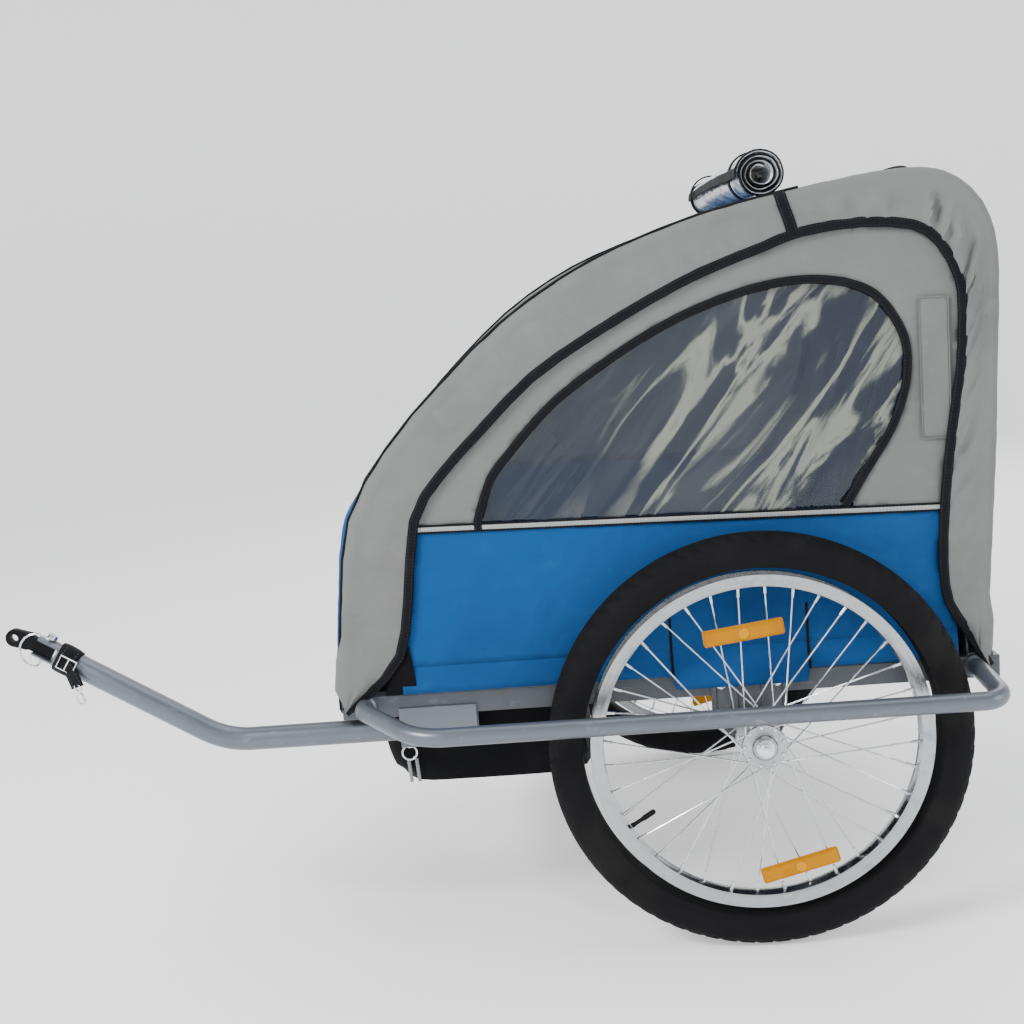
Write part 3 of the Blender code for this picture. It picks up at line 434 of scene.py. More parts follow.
def make_finishes():
    return {
        "grey": coated_cloth(
            "grey_nylon",
            (0.158, 0.166, 0.161),
            (0.125, 0.132, 0.128),
            (0.21, 0.22, 0.215),
            crease=0.007,
            shine=0.15,
        ),
        "blue": coated_cloth(
            "blue_nylon",
            (0.006, 0.066, 0.222),
            (0.003, 0.046, 0.165),
            (0.018, 0.105, 0.29),
            crease=0.006,
            shine=0.12,
        ),
        "black": coated_cloth(
            "black_nylon", (0.0045, 0.0045, 0.006), (0.003, 0.003, 0.004), (0.012, 0.0125, 0.015), shine=0.08
        ),
        "navy": coated_cloth(
            "navy_padding",
            (0.010, 0.032, 0.095),
            (0.006, 0.020, 0.062),
            (0.035, 0.065, 0.14),
            thread=0.0020,
            crease=0.003,
            sheeted=False,
        ),
        "tape": tape("binding_tape", (0.0035, 0.004, 0.006), (0.012, 0.013, 0.017)),
        "webbing": tape("harness_webbing", (0.045, 0.050, 0.060), (0.12, 0.13, 0.15)),
        "webbing_black": tape("strap_webbing", (0.004, 0.004, 0.006), (0.018, 0.019, 0.023)),
        "padding": coated_cloth(
            "grey_pad_cloth", (0.115, 0.120, 0.130), (0.09, 0.095, 0.10), (0.20, 0.21, 0.22), 0.002
        ),
        "strap_grey": tape("grey_strap", (0.22, 0.23, 0.24), (0.34, 0.35, 0.36)),
        "trim": tape("reflective_trim", (0.30, 0.31, 0.31), (0.42, 0.43, 0.43)),
        # The second colour of each film is a painted reflection, laid along its wrinkles.
        "film": clear_vinyl("window_film", (0.005, 0.012, 0.028), (0.19, 0.21, 0.175), 0.66, 0.86),
        "roll_film": clear_vinyl("rolled_film", (0.50, 0.55, 0.59), (0.88, 0.91, 0.93), 0.96, 0.98),
        "silver": enamel("silver_enamel", (0.115, 0.132, 0.156), (0.22, 0.24, 0.26)),
        # Grey powder coat, its colour darkened to a painted shade for the rails, brackets and tubes under the
        # body.
        "grey_paint_with_painted_shade": enamel(
            "grey_powder_coat_painted_shade", (0.055, 0.064, 0.075), (0.12, 0.13, 0.145), 0.35, 0.45, 0.0003
        ),
        "chrome": plated("bright_plate", (0.72, 0.73, 0.75), (0.42, 0.43, 0.45)),
        "steel": plated("spoke_steel", (0.66, 0.67, 0.69), (0.45, 0.46, 0.48), 0.22),
        "alloy": turned_alloy("rim_alloy", (0.40, 0.42, 0.44), (0.26, 0.28, 0.30)),
        "tyre": moulded_rubber("tyre_rubber", (0.005, 0.005, 0.006), (0.017, 0.0165, 0.016)),
        "rubber": moulded_rubber("black_rubber", (0.005, 0.005, 0.006), (0.014, 0.014, 0.015), 0.5),
        "amber": amber_lens("amber_lens"),
    }


# Mesh work
CURVE_STEPS = 12
SAME_PLACE = 1e-6


def show(name, mesh, finish, smooth_angle=40):
    mesh.shade_smooth()
    mesh.set_sharp_from_angle(angle=math.radians(smooth_angle))
    mesh.materials.append(finish)
    made = bpy.data.objects.new(name, mesh)
    bpy.context.scene.collection.objects.link(made)
    return made


def from_bmesh(name, built, finish, smooth_angle=40):
    bmesh.ops.recalc_face_normals(built, faces=built.faces)
    mesh = bpy.data.meshes.new(name)
    built.to_mesh(mesh)
    built.free()
    return show(name, mesh, finish, smooth_angle)


def surface(name, rows, finish, round_rows=False, round_columns=False, capped=False):
    """A skin over rows of points, with its cloth map in metres along and across the rows."""
    built = bmesh.new()
    layer = built.loops.layers.uv.new("cloth")
    verts = [[built.verts.new(p) for p in row] for row in rows]
    count, wide = len(rows), len(rows[0])
    along = [0.0]
    middle = wide // 2
    for i in range(1, count + 1):
        along.append(along[-1] + (Vector(rows[i % count][middle]) - Vector(rows[i - 1][middle])).length)
    across = [0.0]
    for j in range(1, wide + 1):
        across.append(across[-1] + (Vector(rows[0][j % wide]) - Vector(rows[0][j - 1])).length)
    for i in range(count if round_rows else count - 1):
        for j in range(wide if round_columns else wide - 1):
            m, n = (i + 1) % count, (j + 1) % wide
            corners = [(i, j), (m, j), (m, n), (i, n)]
            places = [(i, j), (i + 1, j), (i + 1, j + 1), (i, j + 1)]
            if len({verts[a][b] for a, b in corners}) < 3:
                continue
            face = built.faces.new([verts[a][b] for a, b in corners])
            for loop, (a, b) in zip(face.loops, places):
                loop[layer].uv = (along[a], across[b])
    if capped:
        built.faces.new(verts[0])
        built.faces.new(verts[-1])
    bmesh.ops.remove_doubles(built, verts=built.verts, dist=SAME_PLACE)
    return from_bmesh(name, built, finish)


def thicken(made, thickness=CLOTH, side=0.0):
    step = made.modifiers.new("thickness", "SOLIDIFY")
    step.thickness = thickness
    step.offset = side
    return made


def apply_modifiers(made):
    bpy.context.view_layer.update()
    graph = bpy.context.evaluated_depsgraph_get()
    mesh = bpy.data.meshes.new_from_object(made.evaluated_get(graph))
    made.modifiers.clear()
    made.data = mesh
    return made


def joined(name, parts):
    """Several objects made one, which keeps each one's finish."""
    for part in parts:
        apply_modifiers(part)
    built = bmesh.new()
    finishes = []
    for part in parts:
        for finish in part.data.materials:
            if finish not in finishes:
                finishes.append(finish)
    for part in parts:
        before = len(built.faces)
        part.data.transform(part.matrix_world)
        built.from_mesh(part.data)
        built.faces.ensure_lookup_table()
        for face in built.faces[before:]:
            face.material_index = finishes.index(part.data.materials[face.material_index])
    mesh = bpy.data.meshes.new(name)
    built.to_mesh(mesh)
    built.free()
    for finish in finishes:
        mesh.materials.append(finish)
    made = bpy.data.objects.new(name, mesh)
    bpy.context.scene.collection.objects.link(made)
    for part in parts:
        bpy.data.objects.remove(part)
    return made


def tube(name, path, radius, finish, sides=24, closed=False):
    """A round bar along a path, with flat ends or none. The radius may be a list."""
    points = [Vector(p) for p in path]
    count = len(points)
    radii = radius if isinstance(radius, list) else [radius] * count
    steps = [
        (points[(i + 1) % count] - points[i]).normalized() for i in range(count if closed else count - 1)
    ]
    if closed:
        ways = [(steps[i - 1] + steps[i]).normalized() for i in range(count)]
    else:
        ways = [steps[0]] + [(a + b).normalized() for a, b in zip(steps, steps[1:])] + [steps[-1]]
    side = ways[0].orthogonal().normalized()
    rows = []
    for i, (point, way) in enumerate(zip(points, ways)):
        if i:
            side = ways[i - 1].rotation_difference(way) @ side
        other = way.cross(side)
        rows.append([point + radii[i] * (math.cos(a) * side + math.sin(a) * other) for a in spread(sides)])
    return surface(name, rows, finish, round_rows=closed, round_columns=True, capped=not closed)


def lathe(name, profile, centre, finish, sides=64, closed=True):
    """A profile of (along, radius) turned round an axle that runs along Y."""
    rows = []
    for angle in spread(sides):
        c, s = math.cos(angle), math.sin(angle)
        rows.append([Vector((radius * c, along, radius * s)) + Vector(centre) for along, radius in profile])
    return surface(name, rows, finish, round_rows=True, round_columns=closed)


def block(name, low, high, finish, bevel=0.002, segments=3):
    built = bmesh.new()
    bmesh.ops.create_cube(built, size=1)
    low, high = Vector(low), Vector(high)
    for vert in built.verts:
        vert.co = (low + high) / 2 + Vector([c * s for c, s in zip(vert.co, high - low)])
    made = from_bmesh(name, built, finish)
    soften(made, bevel, segments)
    return made


def soften(made, width=0.0015, segments=2):
    """Rounds the edges of a piece, also of a frame node, whose own mesh stays as it is."""
    weld = made.modifiers.new("weld", "WELD")
    weld.merge_threshold = 0.00001
    step = made.modifiers.new("edges", "BEVEL")
    step.width = width
    step.segments = segments
    step.limit_method = "ANGLE"
    step.angle_limit = math.radians(40)
    step.use_clamp_overlap = True
    return made


def smooth_path(points, count):
    """A path of evenly spaced points on a smooth curve through these."""
    points = [Vector(p) for p in points]
    ends = [points[0], *points, points[-1]]
    fine = []
    for a, b, c, d in zip(ends, ends[1:], ends[2:], ends[3:]):
        for k in range(CURVE_STEPS):
            t = k / CURVE_STEPS
            fine.append(
                0.5 * (
                    2 * b + (c - a) * t + (2 * a - 5 * b + 4 * c - d) * t**2 + (3 * b - a - 3 * c + d) * t**3
                )
            )
    return even([*fine, points[-1]], count)


def even(points, count):
    """The same path with evenly spaced points."""
    points = [Vector(p) for p in points]
    lengths = [0.0]
    for a, b in zip(points, points[1:]):
        lengths.append(lengths[-1] + (b - a).length)
    path, i = [], 0
    for k in range(count):
        target = lengths[-1] * k / (count - 1)
        while i < len(points) - 2 and lengths[i + 1] < target:
            i += 1
        span = max(lengths[i + 1] - lengths[i], 1e-9)
        path.append(points[i].lerp(points[i + 1], min(1.0, max(0.0, (target - lengths[i]) / span))))
    return path


def rounded(corners, radii, steps=14):
    """A path with its inner corners rounded to arcs."""
    corners = [Vector(c) for c in corners]
    path = [corners[0]]
    for before, corner, after, radius in zip(corners, corners[1:], corners[2:], radii):
        a, b = (before - corner).normalized(), (after - corner).normalized()
        half = a.angle(b) / 2
        middle = corner + (a + b).normalized() * radius / math.sin(half)
        start = corner + a * radius / math.tan(half) - middle
        end = corner + b * radius / math.tan(half) - middle
        bend = start.rotation_difference(end)
        for k in range(steps + 1):
            path.append(middle + Matrix.Rotation(bend.angle * k / steps, 3, bend.axis) @ start)
    return path + [corners[-1]]


def ribbon(name, path, normals, width, finish, thickness=0.0016, crown=0.0005):
    """Tape along a path: a flat strip with a slight crown, its cloth map 0 to 1 across."""
    path = [Vector(p) for p in path]
    normals = [Vector(n).normalized() for n in normals]
    built = bmesh.new()
    layer = built.loops.layers.uv.new("cloth")
    shape = [
        (-0.5, 0.0), (-0.47, 0.7), (-0.25, 1.0), (0.0, 1.0), (0.25, 1.0), (0.47, 0.7), (0.5, 0.0), (0.0, -0.2)
    ]
    rings, along = [], [0.0]
    for i, (point, normal) in enumerate(zip(path, normals)):
        way = (path[min(i + 1, len(path) - 1)] - path[max(i - 1, 0)]).normalized()
        side = way.cross(normal).normalized()
        up = side.cross(way)
        wide = width[i] if isinstance(width, list) else width
        ring = []
        for across, high in shape:
            lift = high * thickness + crown * (1 - 4 * across * across) * (high > 0)
            ring.append(built.verts.new(point + side * across * wide + up * lift))
        rings.append(ring)
        if i:
            along.append(along[-1] + (point - path[i - 1]).length)
    count = len(shape)
    for i in range(len(rings) - 1):
        for j in range(count):
            n = (j + 1) % count
            face = built.faces.new((rings[i][j], rings[i + 1][j], rings[i + 1][n], rings[i][n]))
            for loop, (a, b) in zip(face.loops, ((i, j), (i + 1, j), (i + 1, n), (i, n))):
                loop[layer].uv = (along[a], shape[b][0] + 0.5)
    built.faces.new(rings[0])
    built.faces.new(rings[-1])
    return from_bmesh(name, built, finish, 60)


def node_outline(node, sign):
    """The edge of a flat CAD sheet as (x, z) points in order."""
    built = bmesh.new()
    built.from_mesh(frame["nodes"][node].data)
    bmesh.ops.remove_doubles(built, verts=built.verts, dist=SAME_PLACE)
    face_y = max(sign * v.co.y for v in built.verts)
    flat = {f for f in built.faces if all(abs(sign * v.co.y - face_y) < 1e-5 for v in f.verts)}
    after = {}
    for edge in built.edges:
        if sum(face in flat for face in edge.link_faces) == 1:
            a, b = edge.verts
            after.setdefault(a.index, []).append(b.index)
            after.setdefault(b.index, []).append(a.index)
    built.verts.ensure_lookup_table()
    start = min(after, key=lambda i: (built.verts[i].co.x, built.verts[i].co.z))
    loop, last, here = [], None, start
    while not loop or here != start:
        loop.append((built.verts[here].co.x, built.verts[here].co.z))
        ways = [i for i in after[here] if i != last]
        last, here = here, ways[0]
    built.free()
    area = sum(a[0] * b[1] - b[0] * a[1] for a, b in zip(loop, loop[1:] + loop[:1]))
    return loop if area < 0 else loop[::-1]


def cloth_sheet(name, outline, spacing, y_at, finish, thickness=CLOTH):
    """A flat-cut sheet in a side's plane, meshed finely enough to hang in soft waves."""
    closed = [Vector((x, z)) for x, z in outline]
    points = []
    for a, b in zip(closed, closed[1:] + closed[:1]):
        cuts = max(1, round((b - a).length / spacing))
        points += [a.lerp(b, k / cuts) for k in range(cuts)]
    edges = [(i, i + 1) for i in range(len(points) - 1)] + [(len(points) - 1, 0)]
    low = [min(p[k] for p in outline) for k in (0, 1)]
    high = [max(p[k] for p in outline) for k in (0, 1)]
    rim = [Vector(p) for p in points]
    cells = {(round(p.x / spacing), round(p.y / spacing)) for p in rim}
    for i in range(int(low[0] / spacing) - 1, int(high[0] / spacing) + 2):
        for k in range(int(low[1] / spacing) - 1, int(high[1] / spacing) + 2):
            spot = Vector((i * spacing, k * spacing))
            if (i, k) not in cells and inside(spot, outline):
                points.append(spot)
    verts, _, faces, *_ = geometry.delaunay_2d_cdt(points, edges, [], 0, 1e-6)
    built = bmesh.new()
    layer = built.loops.layers.uv.new("cloth")
    made = [built.verts.new((v.x, y_at(v.x, v.y), v.y)) for v in verts]
    for face in faces:
        middle = sum((verts[i] for i in face), Vector((0, 0))) / len(face)
        if inside(middle, outline):
            new = built.faces.new([made[i] for i in face])
            for loop in new.loops:
                loop[layer].uv = (loop.vert.co.x, loop.vert.co.z)
    bmesh.ops.delete(built, geom=[v for v in built.verts if not v.link_faces], context="VERTS")
    sheet = from_bmesh(name, built, finish)
    if thickness:
        thicken(sheet, thickness)
    return sheet


def inside(point, loop):
    x, y = point
    found = False
    for (ax, ay), (bx, by) in zip(loop, loop[1:] + loop[:1]):
        if (ay > y) != (by > y) and x < (bx - ax) * (y - ay) / (by - ay) + ax:
            found = not found
    return found


def wave(x, z, seed, scale=1.0):
    """Soft creases, longer than they are wide."""
    return noise.noise(Vector((x * 9 * scale, z * 5 * scale, seed))) + 0.4 * noise.noise(
        Vector((x * 30 * scale, z * 13 * scale, seed + 7))
    )


def flat_path(points, y):
    return [Vector((p[0], y, p[1])) for p in points]


# Side covers, which fold with their hoops
EDGE_POINTS, SLEEVE_ROWS = 420, 300
PUCKERED, PUCKER_SPREAD = 0.66, 0.06  # where the sleeve bends over at the rear, as shares of its length
CROSS_X, CROSS_SEAM_X = 0.357, 0.369  # ends of the cross binding
ARCH_POINTS, STRIPE_POINTS = 200, 40
STRIPES = (  # name, height over the panel's upper edge, width, finish
    ("stripe", 0.0, 0.0060, "trim"),
    ("stripe_top", 0.0040, 0.0028, "tape"),
    ("stripe_base", -0.0040, 0.0028, "tape"),
)
FLAG_LOW, FLAG_HIGH = (0.515, 0.597), (0.549, 0.763)  # corners of the flag's sleeve


def split_band(side, sign):
    """The outline and the seam of the sleeve band, each from its front foot to its rear foot."""
    loop = node_outline(f"{side}_side_band", sign)
    low = min(z for _, z in loop)
    feet = sorted((p for p in loop if p[1] < low + 0.0005), key=lambda p: p[0])
    start = loop.index(feet[0])
    loop = loop[start:] + loop[:start]
    outer = loop[: loop.index(feet[-1]) + 1]
    inner = loop[loop.index(feet[-2]) : loop.index(feet[1]) + 1]
    return outer, inner[::-1]


class Sleeve:
    """The band that wraps a hoop: flat from its seam to the tube, and then round the tube."""

    FLAT, ROUND = 14, 10

    def __init__(self, side, sign):
        outer, seam = split_band(side, sign)
        self.sign, self.pivot = sign, PIVOT_Z[side]
        self.edge = even(flat_path(outer, 0), EDGE_POINTS)
        self.seam = even(flat_path(seam, 0), EDGE_POINTS)
        front_tip = Vector((outer[0][0] + 0.006, 0, RAIL_TOP - 0.016))
        rear_tip = Vector((outer[-1][0] - 0.002, 0, RAIL_TOP - 0.012))
        self.tips = (front_tip, rear_tip)

    def out(self, i):
        way = self.edge[min(i + 2, EDGE_POINTS - 1)] - self.edge[max(i - 2, 0)]
        return Vector((-way.z, 0, way.x)).normalized()

    def row(self, share, seam_share=None, lift=0.0):
        """Points and normals across the band, from the seam to the inside of the tube."""
        i = round(share * (EDGE_POINTS - 1))
        k = round((share if seam_share is None else seam_share) * (EDGE_POINTS - 1))
        out, edge, seam = self.out(i), self.edge[i], self.seam[k]
        centre = edge - out * HOOP_INSET
        above = edge.z - self.pivot
        radius = SLEEVE_RADIUS + 0.006 * (1 - min(1.0, max(0.0, (above - 0.012) / 0.03))) + lift
        outward = Vector((0, self.sign, 0))
        points, normals = [], []
        corner = math.exp(-(((share - PUCKERED) / PUCKER_SPREAD) ** 2))
        for j in range(self.FLAT):
            t = j / (self.FLAT - 1)
            puff = math.sin(math.pi * min(1.0, t * 1.15)) if t < 0.87 else 0.0
            fold = noise.noise(Vector((share * 62 + t * 1.4, t * 0.8, 3.0 * self.sign)))
            pucker = 1.1 - 3.2 * abs(fold) + 0.7 * noise.noise(
                Vector((share * 26 + t * 2.2, t * 2.0, 11.0 + self.sign))
            )
            loose = 0.5 + 0.9 * noise.noise(Vector((share * 9, 0, 17.0 + self.sign)))
            high = (BAND_Y + 0.0008) * (1 - t) + (HOOP_Y + radius) * t + lift
            high += puff * (0.0016 + (0.0040 * max(0.1, loose) + 0.0062 * corner) * pucker)
            spot = seam.lerp(centre, t)
            points.append(Vector((spot.x, self.sign * high, spot.z)))
            normals.append(outward)
        for j in range(1, self.ROUND + 1):
            angle = math.radians(150) * j / self.ROUND
            way = outward * math.cos(angle) + out * math.sin(angle)
            ripple = 0.0007 * noise.noise(Vector((share * 80, j * 0.3, 20.0 + self.sign)))
            points.append(
                Vector((centre.x, self.sign * HOOP_Y, centre.z)) + way * (radius + ripple * (j < 9))
            )
            normals.append(way)
        return points, normals

    def rows(self, count):
        found = [self.row(k / (count - 1))[0] for k in range(count)]
        for end, tip in ((0, self.tips[0]), (-1, self.tips[1])):
            first = found[end]
            low = []
            for step in (1.0, 0.75, 0.5, 0.25):
                narrow = []
                for point in first:
                    spot = Vector((tip.x, point.y, tip.z)).lerp(point, 1 - step)
                    narrow.append(spot)
                low.append(narrow)
            found = low + found if end == 0 else found + low[::-1]
        return found


def make_side(side, sign, finishes):
    body = f"{side}_side"
    sleeve = Sleeve(side, sign)
    band = surface(f"{side}_sleeve", sleeve.rows(SLEEVE_ROWS), finishes["grey"])
    thicken(band, CLOTH)
    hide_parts(f"{side}_side_band")
    whole = even([sleeve.tips[0], *sleeve.seam, sleeve.tips[1]], EDGE_POINTS)
    lift = [Vector((p.x, sign * (BAND_Y + 0.0018), p.z)) for p in whole]
    seam_tape = ribbon(f"{side}_seam_binding", lift, [(0, sign, 0)] * EDGE_POINTS, BINDING, finishes["tape"])
    path, normals = sleeve.row(share_at(sleeve.edge, CROSS_X), share_at(sleeve.seam, CROSS_SEAM_X), 0.0012)
    cross = ribbon(f"{side}_cross_binding", path, normals, 0.014, finishes["tape"], 0.001)
    pieces = [band, seam_tape, cross]
    pieces += make_panels(side, sign, finishes)
    for made in pieces:
        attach(made, body)


def share_at(line, x):
    """How far along a line it first reaches an x."""
    found = next(i for i, p in enumerate(line) if p.x >= x)
    return found / (len(line) - 1)


def ends_of(loop, z_weight):
    """The front-most and the rear-most upper (or lower) corners of a loop."""
    front = max(loop, key=lambda p: z_weight * p[1] - p[0])
    rear = max(loop, key=lambda p: z_weight * p[1] + p[0])
    return front, rear


def make_panels(side, sign, finishes):
    def panel_y(x, z):
        return sign * (PANEL_Y - 0.0012 + 0.0016 * wave(x, z, 40 + sign))

    upper_loop = node_outline(f"{side}_upper_panel", sign)
    lower_loop = node_outline(f"{side}_lower_panel", sign)
    window_loop = node_outline(f"{side}_window", sign)
    upper = cloth_sheet(f"{side}_upper_cloth", upper_loop, 0.010, panel_y, finishes["grey"])
    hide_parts(f"{side}_upper_panel")
    declare_sheet(upper_loop)

    lower = cloth_sheet(f"{side}_lower_cloth", lower_loop, 0.010, panel_y, finishes["blue"])
    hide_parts(f"{side}_lower_panel")
    declare_sheet(lower_loop)

    def film_y(x, z):
        slant = noise.noise(Vector(((x - z) * 16, (x + z) * 4, 5 + sign)))
        return sign * (WINDOW_Y - 0.0015 + 0.0026 * slant + 0.0012 * wave(x, z, 60 + sign))

    film = cloth_sheet(f"{side}_window_film", window_loop, 0.007, film_y, finishes["film"], 0.0006)
    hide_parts(f"{side}_window")
    declare_sheet(window_loop)

    made = [make_window_binding(side, sign, window_loop, finishes)]
    made += make_stripes(side, sign, lower_loop, finishes)
    made += make_flag_sleeve(side, sign, finishes)
    make_skirt(side, sign, lower_loop, finishes)
    return [upper, lower, film, *made]


def make_window_binding(side, sign, window_loop, finishes):
    """Tape round the window's arch, down to the lower panel at both ends."""
    high = [p for p in window_loop if p[1] > min(z for _, z in window_loop) + 0.0015]
    if high[0][0] > high[-1][0]:
        high.reverse()
    x, z = high[-1]
    high.append((x - 0.010, z - 0.014))  # on to the panel's upper edge
    arch = smooth_path(flat_path(high, 0), ARCH_POINTS)
    inset = []
    for i, point in enumerate(arch):
        way = arch[min(i + 1, ARCH_POINTS - 1)] - arch[max(i - 1, 0)]
        inward = Vector((way.z, 0, -way.x)).normalized()
        spot = point + inward * 0.0045
        inset.append(Vector((spot.x, sign * (PANEL_Y + 0.0008), spot.z)))
    return ribbon(
        f"{side}_window_binding", inset, [(0, sign, 0)] * ARCH_POINTS, WINDOW_BINDING, finishes["tape"]
    )


def make_stripes(side, sign, lower_loop, finishes):
    """The pale stripe over the two panels' joint, edged with tape."""
    front, rear = ends_of(lower_loop, 4)
    made = []
    for name, lift, width, finish in STRIPES:
        path = []
        for k in range(STRIPE_POINTS):
            t = k / (STRIPE_POINTS - 1)
            x, z = front[0] + (rear[0] - front[0]) * t, front[1] + (rear[1] - front[1]) * t + lift
            path.append(Vector((x, sign * (PANEL_Y + 0.0006), z)))
        made.append(
            ribbon(
                f"{side}_{name}",
                path,
                [(0, sign, 0)] * STRIPE_POINTS,
                width,
                finishes[finish],
                0.0012,
                0.0003,
            )
        )
    return made


def make_flag_sleeve(side, sign, finishes):
    """The patch that a flag's pole slides into, with its seams."""
    (x0, z0), (x1, z1) = FLAG_LOW, FLAG_HIGH
    pocket = [(x0, z0), (x0, z1), (x1, z1), (x1, z0)]
    flag = cloth_sheet(
        f"{side}_flag_sleeve", pocket, 0.006, lambda x, z: sign * (PANEL_Y + 0.0012), finishes["grey"], 0.0012
    )
    made = [flag]
    for k, (a, b) in enumerate(zip(pocket, pocket[1:] + pocket[:1])):
        start, end = flat_path((a, b), sign * (PANEL_Y + 0.0020))
        path = [start.lerp(end, t / 9) for t in range(10)]
        made.append(
            ribbon(
                f"{side}_flag_stitch_{k}", path, [(0, sign, 0)] * 10, 0.0016, finishes["grey"], 0.0005, 0.0
            )
        )
    return made


def declare_sheet(loop):
    """Works out how large the flat piece is, from its outline, and does nothing with the result."""
    xs, zs = [p[0] for p in loop], [p[1] for p in loop]
    width, length = max(xs) - min(xs), max(zs) - min(zs)
    area = abs(sum(a[0] * b[1] - b[0] * a[1] for a, b in zip(loop, loop[1:] + loop[:1]))) / 2
    min(max(area, 0.301 * width * length), width * length)


SLITS = (0.203, 0.369)  # where the lower panel is slit, ahead of and behind the axle
SLIT_TOP = 0.408
HANG = 0.014  # of the hem over the rail, between the slits


def make_skirt(side, sign, lower_loop, finishes):
    """The hem below the hoop's pivots. It stays on the chassis and hangs over the rail between its slits."""
    pivot = PIVOT_Z[side]
    front, rear = ends_of(lower_loop, -4)
    top, base = pivot + 0.006, RAIL_TOP + 0.0008
    low = RAIL_TOP - HANG
    outline = [(front[0], base), (front[0], top), (rear[0], top), (rear[0], base)]
    outline += [(SLITS[1], base), (SLITS[1] - 0.003, low), (SLITS[0] + 0.003, low), (SLITS[0], base)]

    def hem_y(x, z):
        fall = min(1.0, max(0.0, (pivot + 0.004 - z) / (pivot - RAIL_TOP)))
        middle = min(1.0, max(0.0, min(x - SLITS[0], SLITS[1] - x) / 0.02 + 0.5))
        proud = 0.0015 + (0.0100 - 0.0015) * middle
        flush = PANEL_Y - 0.0018 + 0.0016 * wave(x, z, 40 + sign)
        return sign * (flush + (RAIL_OUTER + proud - flush) * fall**1.5)

    skirt = cloth_sheet(f"{side}_hem", outline, 0.008, hem_y, finishes["blue"])
    declare_sheet(outline)
    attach(skirt, "chassis")
    for k, x in enumerate(SLITS):
        for part, z_low, z_high, body in (
            ("low", base, pivot, "chassis"), ("top", pivot, SLIT_TOP, f"{side}_side")
        ):
            if z_high - z_low < 0.01:
                continue
            heights = [z_low + (z_high - z_low) * t / 9 for t in range(10)]
            path = [Vector((x, hem_y(x, z) + sign * 0.001, z)) for z in heights]
            slit = ribbon(
                f"{side}_slit_{k}_{part}", path, [(0, sign, 0)] * 10, 0.0035, finishes["tape"], 0.0008, 0.0
            )
            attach(slit, body)


# Covers between the hoops
COVER_REACH = HOOP_Y - 0.003
COVER_ROWS = 46
COVER_BULGES = {"front": 0.014, "roof": 0.001, "back": 0.008}
COVER_SEED = 7.0
PIPING_POINTS = 240


def outline_3d():
    return even(flat_path(split_band("left", -1)[0], 0), EDGE_POINTS)


def cover_rows(line, low_y, high_y, bulge, seed, cuts=34):
    """Rows over a stretch of the outline, crowned between the hoops."""
    count = len(line)
    rows = []
    for i, spot in enumerate(line):
        way = (line[min(i + 1, count - 1)] - line[max(i - 1, 0)]).normalized()
        out = Vector((-way.z, 0, way.x))
        end = min(1.0, 0.35 + math.sin(math.pi * i / (count - 1)))
        row = []
        for j in range(cuts + 1):
            y = low_y + (high_y - low_y) * j / cuts
            share = max(0.0, 1 - (y / COVER_REACH) ** 2)
            crease = noise.noise(Vector((i * 0.10, y * 9, seed))) + 0.5 * noise.noise(
                Vector((i * 0.3, y * 24, seed + 5))
            )
            row.append(
                spot + Vector((0, y, 0)) + out * (share**0.24 * (bulge * end + 0.0028 * crease) - 0.0010)
            )
        rows.append(row)
    return rows


